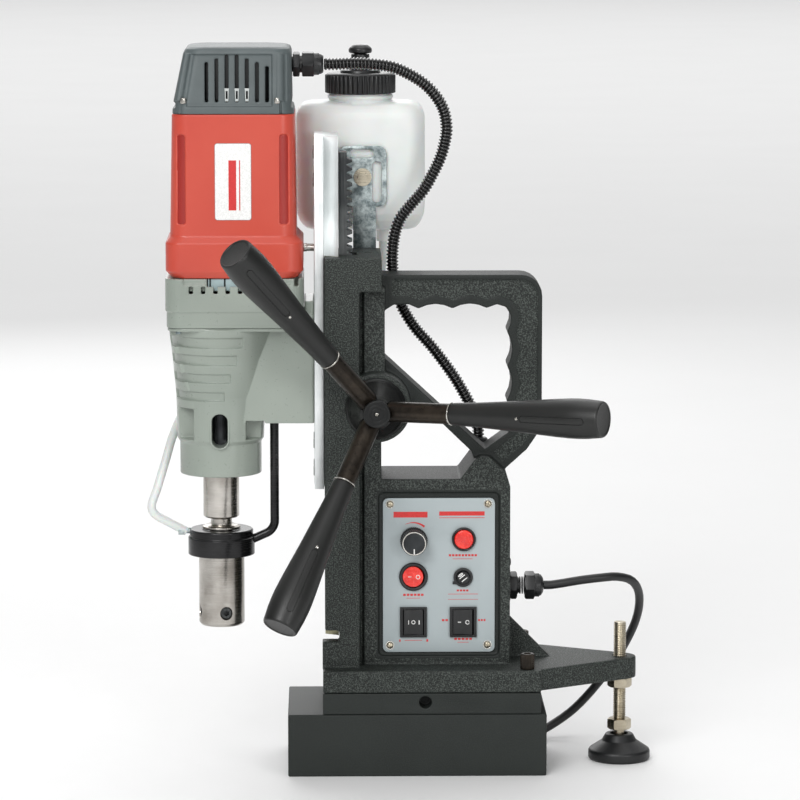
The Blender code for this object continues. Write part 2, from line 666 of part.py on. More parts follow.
def make_mains_gland():
    centre = (GLAND_Y, GLAND_Z)
    left = BOX_RIGHT + GAP
    core = turned(
        [
            (0, 62), (8, 62), (8, left), (12.5, left), (12.5, left + 1.5), (6.6, left + 1.5), (6.6, 89),
            (9.8, 89), (9.8, 98), (7.2, GLAND_END), (0, GLAND_END),
        ],
        centre, "X", 18,
    )
    lock_hex = hex_block(19.5, left + 1, left + 6.6, centre, "X")
    nut = hex_block(20.0, 87.4, 97.0, centre, "X")
    piece("mains_gland", joined(core, lock_hex, nut), "black_plastic")


def make_conduit_glands():
    centre = (0.0, 561.1)
    core = turned(
        [
            (0, -104), (6, -104), (6, -97.2), (8.6, -97.2), (8.6, -92.5), (6.8, -92.5), (6.8, -90),
            (9.4, -90), (9.4, -76), (7.0, -73.0), (0, -73.0),
        ],
        centre, "X", 18,
    )
    piece("motor_gland", joined(core, hex_block(17.8, -97.2, -91.8, centre, "X")), "black_plastic")
    box_gland = turned(
        [(0, 222), (6, 222), (6, 252.9), (8.2, 252.9), (8.2, 257.5), (6.8, 259.4), (0, 259.4)],
        (50.6, 30.0), "Z", 16,
    )
    piece("box_gland", box_gland, "black_plastic")


def make_mains_cord():
    tube("mains_cord", CORD_ROUTE, CORD_R, "rubber", 2)
    x, y = COIL_CENTRE
    half = COIL_COLUMNS * CORD_R
    top = GAP + COIL_LAYERS * 2 * CORD_R
    piece(
        "mains_cord_coil", ring(COIL_RADIUS + half, COIL_RADIUS - half, GAP, top, (x, y), "Z", 28),
        "rubber",
    )


def make_mains_plug():
    """Two-pin plug lying beside the coil, its cord end towards the coil."""
    y = COIL_CENTRE[1] - PLUG_OFFSET
    outer = COIL_RADIUS + COIL_COLUMNS * CORD_R
    back = COIL_CENTRE[0] - math.sqrt(outer**2 - (PLUG_OFFSET - 6.0) ** 2) - GAP
    body = turned(
        [
            (0, back), (5.0, back), (6.2, back - 16), (11.5, back - 22), (12.8, back - 28),
            (12.8, back - 44), (0, back - 44),
        ],
        (y, PLUG_Z), "X", 18,
    )
    pins = [rod(2.4, back - 62, back - 40, (y + side, PLUG_Z), "X", 10) for side in (-8.0, 8.0)]
    piece("mains_plug", joined(body, *pins), "black_plastic")


# ---------------------------------------------------------------- slide and feed


def make_slide():
    low_half = WAY_HALF - 3.4 + DOVETAIL_SLOPE * (SLIDE_SHOULDER - COLUMN_LEFT)
    low_half_in = WAY_HALF - 3.4 + DOVETAIL_SLOPE * (SLIDE_BACK - COLUMN_LEFT)
    high_half = WAY_HALF - 0.35 + DOVETAIL_SLOPE * (SLIDE_SHOULDER - COLUMN_LEFT)
    high_half_in = WAY_HALF - 0.35 + DOVETAIL_SLOPE * (SLIDE_BACK - COLUMN_LEFT)
    plan = [
        (SLIDE_FRONT, -SLIDE_HALF), (SLIDE_SHOULDER, -SLIDE_HALF), (SLIDE_SHOULDER, -low_half),
        (SLIDE_BACK, -low_half_in), (SLIDE_BACK, high_half_in), (SLIDE_SHOULDER, high_half),
        (SLIDE_SHOULDER, SLIDE_HALF), (SLIDE_FRONT, SLIDE_HALF),
    ]
    piece("slide_plate", prism(plan, SLIDE_LOW, SLIDE_HIGH, "Z"), "anodised")


def make_rack():
    """Toothed bar on the slide's back, with a tooth space level with the pinion's axis."""
    pitch = math.pi * MODULE
    pitch_line = HUB_X - PINION_R
    back, root, tip = SLIDE_BACK + GAP, pitch_line - 1.25 * MODULE, pitch_line + 0.9 * MODULE
    slope = math.tan(math.radians(20))
    half = pitch * 0.42 / 2
    outline = [(back, RACK_LOW), (root, RACK_LOW)]
    first = math.ceil((RACK_LOW + pitch / 2 - HUB_Z) / pitch - 0.5)
    last = math.floor((RACK_HIGH - pitch / 2 - HUB_Z) / pitch - 0.5)
    for tooth in range(first, last + 1):
        middle = HUB_Z + (tooth + 0.5) * pitch
        wide, narrow = half + 1.25 * MODULE * slope, half - 0.9 * MODULE * slope
        outline += [
            (root, middle - wide), (tip, middle - narrow), (tip, middle + narrow),
            (root, middle + wide),
        ]
    outline += [(root, RACK_HIGH), (back, RACK_HIGH)]
    piece("rack", prism(outline, -9, 9), "dark_steel")


def make_pinion_shaft():
    centre = (HUB_X, HUB_Z)
    teeth = gear(PINION_TEETH, MODULE, -9.5, 9.5, centre, "Y", 0.42, 180.0)
    shaft = turned([(0, -55), (9, -55), (9, 44.4), (12.5, 44.4), (12.5, 48), (0, 48)], centre, "Y", 18)
    piece("pinion_shaft", joined(teeth, shaft), "steel", (HUB_X, 0, HUB_Z))
    for name, low, high in (("shaft_bush_front", -43.7, -11.8), ("shaft_bush_rear", 11.8, 43.7)):
        piece(name, ring(14.0, 9.3, low, high, centre, "Y", 18), "bronze")


def lever_frame(angle_deg):
    """Matrix from a lever's own axis, +Z outwards from the apex, to its place on the hub."""
    a = math.radians(angle_deg)
    level = math.cos(LEVER_TILT)
    outward = Vector((level * math.cos(a), -math.sin(LEVER_TILT), level * math.sin(a)))
    turn = Vector((0, 0, 1)).rotation_difference(outward).to_matrix().to_4x4()
    return Matrix.Translation((HUB_X, APEX_Y, HUB_Z)) @ turn


def make_hub():
    """Drum on the pinion shaft whose conical front carries the three levers square to its face."""
    centre = (HUB_X, HUB_Z)
    back = -BOSS_Y - GAP
    profile = [
        (0, back), (24.2, back), (24.2, -48.6), (23.0, -50.0), (13.4, -67.5), (10.7, -68.5), (10.7, -79),
        (0, -79),
    ]
    hub = cut(turned(profile, centre, "Y", 28), rod(9.3, -55.5, -40, centre, "Y", 18))
    for angle in LEVER_ANGLES:
        seat = moved(rod(8.3, ROD_START - GAP, 60, segments=16), lever_frame(angle))
        thread = moved(rod(4.5, 6.5, ROD_START + 2, segments=10), lever_frame(angle))
        hub = cut(hub, seat, thread)
    piece("feed_hub", hub, "black_steel", (HUB_X, 0, HUB_Z))


def make_levers():
    """Three equal levers: a turned rod with a stud at its hub end, and a moulded grip pushed on to it."""
    rod_profile = [
        (0, 7.0), (4, 7.0), (4, ROD_START), (8, ROD_START), (8, 64.6), (8.4, 64.9), (8.4, 66.1),
        (5, 66.1), (5, ROD_END - GAP), (0, ROD_END - GAP),
    ]
    grip_profile = [
        (0, GRIP_START), (8.7, GRIP_START), (9.6, 87), (12.2, 125), (14.8, 157), (15.5, 174),
        (14.5, 189), (13.6, GRIP_END), (0, GRIP_END),
    ]
    for number, angle in enumerate(LEVER_ANGLES, 1):
        frame = lever_frame(angle)
        hub_centre = (HUB_X, 0, HUB_Z)
        piece(
            f"lever_rod_{number}", moved(turned(rod_profile, segments=16), frame), "black_steel",
            hub_centre,
        )
        bore = moved(rod(5.3, GRIP_START - 2, ROD_END, segments=14), frame)
        body = moved(turned(grip_profile, segments=16), frame)
        piece(f"lever_grip_{number}", cut(body, bore), "rubber", hub_centre)


# ---------------------------------------------------------------- motor unit


def blend_loop(left, right, half_y, radius, z, share=0.0, circle=(SPINDLE_X, 0.0, 34.4), steps=7):
    """A loop part way from a rounded rectangle (share 0) to a circle (share 1)."""
    square = round_rect(left, right, -half_y, half_y, radius, steps)
    loop = []
    for i, (x, y) in enumerate(square):
        a = -math.pi / 2 + 2 * math.pi * (i + 0.5) / len(square)
        cx, cy = circle[0] + circle[2] * math.cos(a), circle[1] + circle[2] * math.sin(a)
        loop.append((x + (cx - x) * share, y + (cy - y) * share, z))
    return loop


def make_gearbox_lower():
    """Cast nose: a cone from the square seam to the round barrel, with the bracket that meets the slide."""
    barrel = (SPINDLE_X, 0.0, 32.4)
    loops = [
        blend_loop(-190, -122, 34, 20, 236.6, 1.0, barrel),
        blend_loop(-190, -122, 34, 20, 262.0, 1.0, barrel),
        blend_loop(-190, -122, 34, 20, 265.0, 1.0),
        blend_loop(-196, -111, 50, 40, 300.0, 0.86),
        blend_loop(-196, -111, 50, 40, 330.0, 0.45),
        blend_loop(-196, -110, 49.5, 40, 352.0, 0.02),
        blend_loop(-196.2, -109.8, 49.6, 40, 356.0, 0.0),
    ]
    rear_loops = [
        blend_loop(-189, -124, 33, 20, 262.5, 1.0, (SPINDLE_X, 0.0, 31.4)),
        blend_loop(-189, -124, 33, 20, 266.5, 1.0, (SPINDLE_X, 0.0, 33.4)),
        blend_loop(-195, -94, 50, 24, 300.5, 0.86),
        blend_loop(-195, -91, 50, 24, 330.5, 0.45),
        blend_loop(-195, -90.5, 49.0, 24, 352.5, 0.02),
        blend_loop(-195, -90.5, 49.0, 24, 356.3, 0.0),
    ]
    rear = cut(loft(rear_loops), block((-220, -60), (-70, -29.4), (250, 370)))
    plate = prism(round_rect(-196.6, -90.3, -48.8, 48.8, 23, 7), 354.4, SEAM_LOW - GAP, "Z")
    nose = joined(loft(loops), rear, plate)
    bracket = prism(round_rect(-140, SLIDE_FRONT - GAP, -30, 30, 2.5, 2), 282.5, 356.5, "Z")
    flange = prism(round_rect(-88.6, SLIDE_FRONT - GAP, -30, 30, 2, 2), 340, 376.6, "Z")
    nose = joined(nose, bracket, flange)
    slot = prism(round_rect(SPINDLE_X - 6.3, SPINDLE_X + 6.3, 260.5, 287.7, 6.2, 5), -60, 60)
    notch_left = block((-200, -176), (-60, -22.5), (266, 291))
    notch_right = block((-135.2, -120), (-60, -22.5), (266, 281.5))
    bore = SPINDLE_R + 0.5
    spindle_room = turned(
        [(0, 230), (bore, 230), (bore, 328), (24.8, 328), (24.8, 362), (0, 362)], (SPINDLE_X, 0), "Z",
        28,
    )
    step_room = turned(
        [(0, 321), (4.4, 321), (4.4, 326), (13.5, 326), (13.5, 363), (0, 363)], INTERMEDIATE, "Z", 18,
    )
    piece(
        "gearbox_nose", cut(nose, slot, notch_left, notch_right, spindle_room, step_room),
        "gearbox_paint",
    )


def gear_centre():
    """Plan position of the intermediate shaft, from the two gear pairs' centre distances."""
    to_armature = GEAR_MODULE * (ARMATURE_TEETH + INTERMEDIATE_TEETH) / 2
    to_spindle = GEAR_MODULE * (STEP_TEETH + SPINDLE_TEETH) / 2
    apart = MOTOR_X - SPINDLE_X
    along = (to_spindle**2 - to_armature**2 + apart**2) / (2 * apart)
    return SPINDLE_X + along, math.sqrt(to_spindle**2 - along**2)


INTERMEDIATE = gear_centre()


def make_gearbox_upper():
    band = prism(round_rect(-197.6, -89.0, -50, 50, 24, 7), SEAM_LOW, SEAM_MID - GAP, "Z")
    room = prism(round_rect(-192.0, -94.6, -46.9, 46.9, 21, 5), SEAM_LOW - 2, 386, "Z")
    shaft_hole = rod(12, 380, 400, (MOTOR_X, 0), "Z", 16)
    socket = rod(4.4, 384, 390, INTERMEDIATE, "Z", 10)
    window = block((-164.5, -139.5), (-60, -40), (391.4, 400))
    vent_places = (-177, -167.4, -157.8, -148.2, -138.6)
    vents = [block((x - 1.6, x + 1.6), (-60, -46), (386.6, 391.6)) for x in vent_places]
    piece("gearbox_housing", cut(band, room, shaft_hole, socket, window, *vents), "gearbox_paint")


def make_motor_housing():
    def loop(z, grow_left, grow_right, grow_y, radius=28):
        return blend_loop(-191.4 - grow_left, -95.5 + grow_right, 48 + grow_y, radius, z)
    shell = loft([
        loop(SEAM_MID, 0.8, 1.6, 0), loop(402, 5.6, 6.2, 3), loop(424, 5.6, 6.2, 3),
        loop(428.5, 1.9, 1.0, 0), loop(SEAM_TOP - GAP, 0, 0, 0),
    ])
    room = rod(41, SEAM_MID - 5, SEAM_TOP + 5, (MOTOR_X, 0), "Z", 24)
    piece("motor_housing", cut(shell, room), "red_paint")


def cap_loops(inset, low, high):
    """Loops of the end cap's outside, or of its inside where inset is its wall."""
    rows = (
        (low, -191.0, -95.8, 47.6), (533.0, -190.3, -97.6, 47.2), (high - 4.5, -182.2, -98.4, 43.0),
        (high, -178.0, -102.0, 39.5),
    )
    return [
        blend_loop(left + inset, right - inset, half - inset, 25 - inset, z)
        for z, left, right, half in rows
    ]


def make_motor_cap():
    cap = cut(loft(cap_loops(0, SEAM_TOP, CAP_TOP)), loft(cap_loops(3, SEAM_TOP - 2, CAP_TOP - 3)))
    tops = (564.8, 567.6, 570.7, 570.7, 567.6, 564.8, 561.6)
    slots = [
        block((-165.2 + 7.85 * i, -162.8 + 7.85 * i), (-70, 70), (534, top)) for i, top in enumerate(tops)
    ]
    gland_hole = rod(6.5, -120, -90, (0, 561.1), "X", 14)
    piece("motor_end_cap", cut(cap, *slots, gland_hole), "cap_plastic")


def make_motor_insides():
    centre = (MOTOR_X, 0)
    piece("stator", ring(40.6, 27.6, 432, 502, centre, "Z", 24), "copper")
    shaft = turned(
        [
            (0, 361), (4.0, 361), (4.0, 398), (7, 398), (34, 402), (34, 410), (5, 412), (5, 432),
            (26.4, 432), (26.4, 502), (5, 502), (5, 512), (14, 512), (14, 534), (5, 534), (5, 566),
            (0, 566),
        ],
        centre, "Z", 18,
    )
    teeth = gear(ARMATURE_TEETH, GEAR_MODULE, 362, 383, centre, "Z", 0.42, ARMATURE_PHASE)
    piece("armature", joined(shaft, teeth), "copper", (MOTOR_X, 0, 0))


def make_gears():
    x, y = INTERMEDIATE
    wheel = gear(INTERMEDIATE_TEETH, GEAR_MODULE, 366, 376, INTERMEDIATE, "Z", 0.42, WHEEL_PHASE)
    step = gear(STEP_TEETH, GEAR_MODULE, 331, 368, INTERMEDIATE, "Z", 0.42, STEP_PHASE)
    shaft = rod(4, 321.5, 389.5, INTERMEDIATE, "Z", 10)
    piece("intermediate_gear", joined(wheel, step, shaft), "steel", (x, y, 0))
    drive = gear(SPINDLE_TEETH, GEAR_MODULE, 332, 346, (SPINDLE_X, 0), "Z", 0.42, SPINDLE_PHASE)
    piece(
        "spindle_gear", cut(drive, rod(SPINDLE_R + 0.5, 320, 360, (SPINDLE_X, 0), "Z", 24)), "steel",
        (SPINDLE_X, 0, 0),
    )


def mesh_phases():
    """Tooth angles in degrees at which each gear pair starts in mesh."""
    x, y = INTERMEDIATE
    to_armature = math.degrees(math.atan2(0 - y, MOTOR_X - x))
    to_spindle = math.degrees(math.atan2(0 - y, SPINDLE_X - x))
    wheel, step = to_armature, to_spindle
    armature = to_armature + 180 + 180 / ARMATURE_TEETH
    spindle = to_spindle + 180 + 180 / SPINDLE_TEETH
    return wheel, step, armature, spindle


WHEEL_PHASE, STEP_PHASE, ARMATURE_PHASE, SPINDLE_PHASE = mesh_phases()


def make_spindle():
    centre = (SPINDLE_X, 0)
    profile = [
        (0, 172), (8.6, 172), (8.6, 191), (15.2, 191.3), (15.2, 193.4), (8.6, 194.6), (8.6, 199.6),
        (SPINDLE_R - 0.6, 200.4), (SPINDLE_R, 201.2), (SPINDLE_R, 350), (0, 350),
    ]
    piece("spindle", turned(profile, centre, "Z", 24), "steel", (SPINDLE_X, 0, 0))


def make_coolant_ring():
    centre = (SPINDLE_X, 0)
    profile = [
        (26.5, 170.6), (26.5, 184.4), (25.3, 185.0), (25.3, 190.0), (24.2, 191.0), (16.6, 191.0),
        (9.0, 189.4), (9.0, 172.4), (19.0, 172.4), (19.0, 170.6),
    ]
    piece("coolant_ring", turned(profile, centre, "Z", 24), "black_steel")


def make_chuck():
    """Weldon-shank tool holder with two screw holes a quarter turn apart."""
    centre = (SPINDLE_X, 0)
    body = turned(
        [(0, 113.4), (16.6, 113.4), (18.15, 115.2), (18.15, 171.6), (0, 171.6)], centre, "Z", 24,
    )
    bore = rod(9.55, 110, 163, centre, "Z", 20)
    chuck = cut(body, bore)
    for turn in (-77.0, -167.0):
        hole = rod(5.0, 6, 25, segments=14)
        spin = Matrix.Translation((SPINDLE_X, 0, 124.6)) @ Matrix.Rotation(
            math.radians(turn), 4, "Z",
        ) @ Matrix.Rotation(math.pi / 2, 4, "Y")
        chuck = cut(chuck, moved(hole, spin))
    piece("arbor_chuck", chuck, "steel", (SPINDLE_X, 0, 0))


def make_ring_stay():
    """Bent rod from the bracket's underside that keeps the coolant ring from turning."""
    bend = arc(-124.0, 197.0, 11.0, 0, -66, 6)
    corner = [(x, 0, z) for x, z in bend]
    route = [(-113.0, 0, 282.2), (-113.0, 0, 262), (-113.0, 0, 235), *corner, (-127.2, 0, 183.5)]
    tube("ring_stay", route, 3.5, "black_steel", 2)


# ---------------------------------------------------------------- levelling foot


def make_levelling_foot():
    centre = (STUD_X, STUD_Y)
    stud = turned(
        [
            (0, 14.5), (1.8, 14.5), (4.2, 15.8), (4.2, 24.4), (STUD_R, 25), (STUD_R, STUD_TOP - 0.8),
            (STUD_R - 0.8, STUD_TOP), (0, STUD_TOP),
        ],
        centre, "Z", 16,
    )
    piece(
        "levelling_stud", joined(stud, hex_block(16.6, 24.6, 33.0, centre, "Z")), "nickel",
        (STUD_X, STUD_Y, 0),
    )
    nut = cut(
        hex_block(17.0, 59.4, ARM_BOTTOM - GAP, centre, "Z"),
        rod(STUD_R + GAP, 50, 80, centre, "Z", 16),
    )
    piece("stud_lock_nut", nut, "nickel")
    pad = turned(
        [(0, 0), (24.2, 0), (24.9, 1.0), (24.9, 8.0), (10.8, 21.0), (7.2, 21.0), (7.2, 14.2), (0, 14.2)],
        centre, "Z", 24,
    )
    piece("foot_pad", pad, "rubber", (STUD_X, STUD_Y, 14.2))


# ---------------------------------------------------------------- coolant bottle


def make_bottle():
    def loop(z, inset, radius=16):
        left, right = BOTTLE_X - BOTTLE_HALF_X + inset, BOTTLE_X + BOTTLE_HALF_X - inset
        level = blend_loop(left, right, BOTTLE_HALF_Y - inset, radius - inset * 0.5, z, 0, steps=3)
        return [(x, y + BOTTLE_Y, z) for x, y, _ in level]
    body = loft([
        loop(424.5, 12), loop(428.5, 5), loop(438, 0.6), loop(444, 0),
        loop(515, 0), loop(522, 2), loop(526.5, 7), loop(527.5, 12),
    ])
    neck = rod(25.0, 520, 545, (BOTTLE_X, BOTTLE_Y), "Z", 20)
    outlet = rod(5.6, 413.5, 432, (OUTLET_X, BOTTLE_Y), "Z", 14)
    bottle = joined(body, neck, outlet)
    mouth = rod(21.5, 500, 550, (BOTTLE_X, BOTTLE_Y), "Z", 18)
    piece("coolant_bottle", cut(bottle, mouth), "bottle")


def make_bottle_cap():
    centre = (BOTTLE_X, BOTTLE_Y)
    cap = turned(
        [
            (0, 550.2), (26.5, 550.2), (28.5, 548.6), (28.5, 533.6), (25.4, 533.6), (25.4, 546.2),
            (0, 546.2),
        ],
        centre, "Z", 28,
    )
    well = rod(5.2, 540, 560, centre, "Z", 14)
    collar = ring(7.4, 5.2, 549, 565.3, centre, "Z", 18)
    piece("bottle_cap", cut(joined(cap, collar), well), "black_plastic", (BOTTLE_X, BOTTLE_Y, 0))
    knob = turned(
        [(0, 545.6), (4.9, 545.6), (4.9, 565.6), (9.4, 566.2), (9.4, 569.4), (6.4, 572.2), (0, 573)],
        centre, "Z", 18,
    )
    piece("vent_valve", knob, "black_plastic", (BOTTLE_X, BOTTLE_Y, 0))


def make_bottle_bracket():
    low, high = COLUMN_Y + 0.4, COLUMN_Y + 2.4
    plate = prism(round_rect(-61.4, -22.8, 444.7, 493.3, 6, 3), low, high)
    leg = block((-49.7, -31.3), (low, high), (384, 450))
    slot_top = prism(round_rect(-52, -33, 483.7, 490.6, 2.5, 2), 30, 60)
    slot_side = prism(round_rect(-34.2, -26.8, 448.0, 481.0, 3.2, 3), 30, 60)
    bolt_hole = rod(2.9, 30, 60, (-42, 468.3), "Y", 10)
    bracket = cut(joined(plate, leg), slot_top, slot_side, bolt_hole)
    piece("bottle_bracket", bracket, "zinc")


def clear_scene():
    for obj in list(bpy.data.objects):
        bpy.data.objects.remove(obj)


def main():
    clear_scene()
    make_magnet()
    make_base_plate()
    make_base_bolts()
    make_frame()
    make_gib()
    make_rear_cover()
    make_panel()
    make_lamp()
    make_fuse()
    make_speed_knob()
    make_round_switch()
    make_switch("direction", LEFT_SWITCH, 10.7, 12.2, 0.0)
    make_switch("motor", RIGHT_SWITCH, 10.7, 12.2, -ROCKER_TILT * 0.75)
    make_control_board()
    make_mains_gland()
    make_conduit_glands()
    make_mains_cord()
    make_mains_plug()
    make_slide()
    make_rack()
    make_pinion_shaft()
    make_hub()
    make_levers()
    make_gearbox_lower()
    make_gearbox_upper()
    make_motor_housing()
    make_motor_cap()
    make_motor_insides()
    make_gears()
    make_spindle()
    make_coolant_ring()
    make_chuck()
    make_ring_stay()
    make_levelling_foot()
    make_bottle()
    make_bottle_cap()
    make_bottle_bracket()
    tube("conduit", CONDUIT_ROUTE, 5.0, "rubber", 2)
    tube("coolant_tube", COOLANT_ROUTE, 3.0, "clear_tube", 2)


main()
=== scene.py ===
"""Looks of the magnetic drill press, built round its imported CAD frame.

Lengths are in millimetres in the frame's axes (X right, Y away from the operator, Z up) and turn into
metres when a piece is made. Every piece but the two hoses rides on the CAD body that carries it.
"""

import json
import math

import bmesh
import bpy
from mathutils import Matrix, Vector


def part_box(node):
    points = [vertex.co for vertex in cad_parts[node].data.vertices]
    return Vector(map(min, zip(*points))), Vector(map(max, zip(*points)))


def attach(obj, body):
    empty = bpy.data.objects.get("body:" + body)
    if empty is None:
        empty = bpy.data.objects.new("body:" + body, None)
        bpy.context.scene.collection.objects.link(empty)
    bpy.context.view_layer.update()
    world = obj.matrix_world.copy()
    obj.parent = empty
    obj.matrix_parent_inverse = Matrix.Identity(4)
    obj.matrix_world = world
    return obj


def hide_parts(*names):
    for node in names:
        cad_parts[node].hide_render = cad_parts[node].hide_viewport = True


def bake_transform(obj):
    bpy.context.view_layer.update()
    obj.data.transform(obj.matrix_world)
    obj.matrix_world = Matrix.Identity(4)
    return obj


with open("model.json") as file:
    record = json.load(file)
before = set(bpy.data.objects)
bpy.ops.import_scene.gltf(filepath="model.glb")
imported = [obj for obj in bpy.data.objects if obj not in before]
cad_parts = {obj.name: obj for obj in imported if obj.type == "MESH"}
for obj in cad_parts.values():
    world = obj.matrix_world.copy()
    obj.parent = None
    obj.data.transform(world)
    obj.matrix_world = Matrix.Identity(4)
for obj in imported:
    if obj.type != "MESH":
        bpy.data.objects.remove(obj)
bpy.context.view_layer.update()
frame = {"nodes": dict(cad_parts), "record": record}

MM = 0.001
NODES = frame["nodes"]
BODY_OF = {n: b for b, ns in frame["record"]["behaviour"]["bodies"].items() for n in ns}

# Places shared with the CAD source
HUB_X, HUB_Z, APEX_Y = -32.4, 293.4, -60.0
LEVER_TILT, LEVER_ANGLES = math.radians(28.0), (129.0, 2.0, 244.0)
SPINDLE_X, MOTOR_X = -155.6, -143.0
STUD_X, STUD_Y = 164.5, 6.0
SEAM_LOW, SEAM_MID, SEAM_TOP, CAP_TOP = 357.3, 396.6, 524.8, 576.6
PANEL_FRONT, FACE = -28.3, -28.6
KNOB, LAMP, ROUND_SWITCH, FUSE = (-2.4, 185.4), (37.3, 186.3), (-2.7, 156.2), (36.8, 155.6)
LEFT_SWITCH, RIGHT_SWITCH, PIVOT_Y = (-2.7, 119.5), (36.9, 119.5), -27.0
PRESSED = -6.0
BOTTLE_X, BOTTLE_Y, OUTLET_X = -43.4, 77.5, -25.1
GLAND_Y, GLAND_Z = 6.0, 142.6
GAP = 0.3

# Camera, found by matching edges of the object to the photo
CAMERA_PLACE, CAMERA_LENS = (-0.0722, -3.1174, 0.7264), 177.75
CAMERA_FORWARD, CAMERA_RIGHT = (0.01887, 0.99033, -0.1374), (0.99982, -0.01905, 0.0)

# Cord and hoses
CORD_D, CORD_LENGTH = 7.0, 3.1
COIL_X, COIL_Y, COIL_PITCH = 20.0, 130.0, 7.05
COIL_MIDDLE, COIL_TURNS = 42.0, 5
COIL_LOW, COIL_HIGH = 3.8, 10.9
PLUG_Z = 13.1
CORD_ROUTE = [
    (102.8, 6.0, 142.6), (109.0, 6.0, 142.7), (119.0, 6.0, 144.2), (133.0, 6.5, 146.4),
    (148.0, 8.5, 147.8), (163.0, 14.5, 147.6), (176.0, 27.0, 141.5), (183.0, 44.0, 126.5),
    (182.0, 62.0, 103.5), (172.0, 78.0, 76.0), (155.0, 86.0, 48.0), (134.0, 87.0, 24.0),
    (112.0, 81.0, 9.5), (98.0, 73.5, 5.2), (86.0, 67.4, 3.9), (74.0, 64.0, 3.8), (64.0, 63.8, 3.8),
    (55.0, 65.8, 3.8), (46.0, 69.5, 3.8),
]
CONDUIT_ROUTE = [
    (-72.7, 0.0, 561.1), (-64.0, 0.0, 561.1), (-50.0, 0.6, 561.5), (-35.0, 2.0, 560.9),
    (-16.7, 5.0, 557.9), (1.5, 9.0, 548.6), (13.4, 11.5, 538.2), (21.5, 14.0, 525.2),
    (24.4, 16.0, 511.3), (23.5, 18.0, 500.1), (19.8, 20.0, 486.1), (13.4, 22.0, 472.1),
    (6.0, 24.0, 459.0), (-5.0, 26.0, 446.0), (-13.0, 27.5, 434.5), (-17.4, 28.5, 418.3),
    (-18.3, 29.5, 397.9), (-15.6, 30.0, 380.0), (-10.5, 30.0, 365.3), (-0.3, 30.0, 348.6),
    (14.3, 30.0, 331.8), (28.8, 30.0, 312.3), (36.9, 30.0, 299.3), (44.1, 30.0, 286.0),
    (49.4, 30.0, 273.5), (50.6, 30.0, 266.0), (50.6, 30.0, 259.8),
]
COOLANT_ROUTE = [
    (-25.1, 77.5, 413.0), (-25.6, 77.0, 396.0), (-31.0, 75.0, 372.0), (-46.0, 70.0, 345.0),
    (-70.0, 64.0, 322.0), (-100.0, 58.0, 304.0), (-132.0, 53.0, 292.0), (-162.0, 47.0, 286.0),
    (-184.0, 36.0, 281.0), (-194.0, 22.0, 264.0), (-200.5, 12.0, 243.0), (-207.0, 5.0, 222.0),
    (-211.3, 1.0, 209.0), (-208.5, 0.0, 202.0), (-199.0, 0.0, 196.5), (-191.0, 0.0, 192.2),
    (-183.3, 0.0, 188.2),
]


# ---------------------------------------------------------------- shapes


def arc(u, v, radius, start, end, steps):
    turns = [math.radians(start + (end - start) * i / steps) for i in range(steps + 1)]
    return [(u + radius * math.cos(a), v + radius * math.sin(a)) for a in turns]


def round_rect(left, right, low, high, radius, steps=6):
    """Outline of a rectangle with round corners, anticlockwise."""
    corners = (
        (right - radius, low + radius, -90), (right - radius, high - radius, 0),
        (left + radius, high - radius, 90), (left + radius, low + radius, 180),
    )
    return [p for u, v, start in corners for p in arc(u, v, radius, start, start + 90, steps)]


def place(u, v, w, axis):
    """The point at (u, v) in the plane across the axis and at w along it."""
    return {"X": (w, u, v), "Y": (u, w, v), "Z": (u, v, w)}[axis]


def skin(rings, ends=True, around=True):
    """Faces between rings of points, with both ends closed."""
    bm = bmesh.new()
    loops = [[bm.verts.new(p) for p in ring] for ring in rings]
    count = len(loops[0])
    if ends:
        bm.faces.new(loops[0])
        bm.faces.new(loops[-1])
    for low, high in zip(loops, loops[1:]):
        for i in range(count if around else count - 1):
            j = (i + 1) % count
            bm.faces.new((low[i], low[j], high[j], high[i]))
    bmesh.ops.recalc_face_normals(bm, faces=bm.faces)
    return bm


def prism(outline, low, high, axis="Y", soft=0.0, steps=3):
    """An outline extruded along the axis, with its sharp edges rounded off by soft."""
    bm = skin([[place(u, v, w, axis) for u, v in outline] for w in (low, high)])
    return rounded(bm, soft, steps) if soft else bm


def block(x, y, z, soft=0.0, steps=3):
    outline = [(x[0], y[0]), (x[1], y[0]), (x[1], y[1]), (x[0], y[1])]
    return prism(outline, z[0], z[1], "Z", soft, steps)


def rounded(bm, width, steps=3, angle=28):
    sharp = [e for e in bm.edges if e.is_manifold and e.calc_face_angle(0) > math.radians(angle)]
    bmesh.ops.bevel(
        bm, geom=sharp, offset=width, segments=steps, profile=0.6, affect="EDGES", clamp_overlap=True,
    )
    return bm


def softened(profile, radius, closed):
    """The profile with each corner turned into a small curve."""
    count, points = len(profile), []
    for i, (r, w) in enumerate(profile):
        if not closed and i in (0, count - 1):
            points.append((r, w))
            continue
        here, before, after = Vector((r, w)), Vector(profile[i - 1]), Vector(profile[(i + 1) % count])
        back, on = before - here, after - here
        if back.length < 1e-6 or on.length < 1e-6 or back.angle(-on) < math.radians(10):
            points.append((r, w))
            continue
        cut = min(radius, 0.42 * back.length, 0.42 * on.length)
        start, end = here + back.normalized() * cut, here + on.normalized() * cut
        for t in (0.0, 0.25, 0.5, 0.75, 1.0):
            p = start * (1 - t) ** 2 + here * 2 * t * (1 - t) + end * t**2
            points.append((p.x, p.y))
    return points


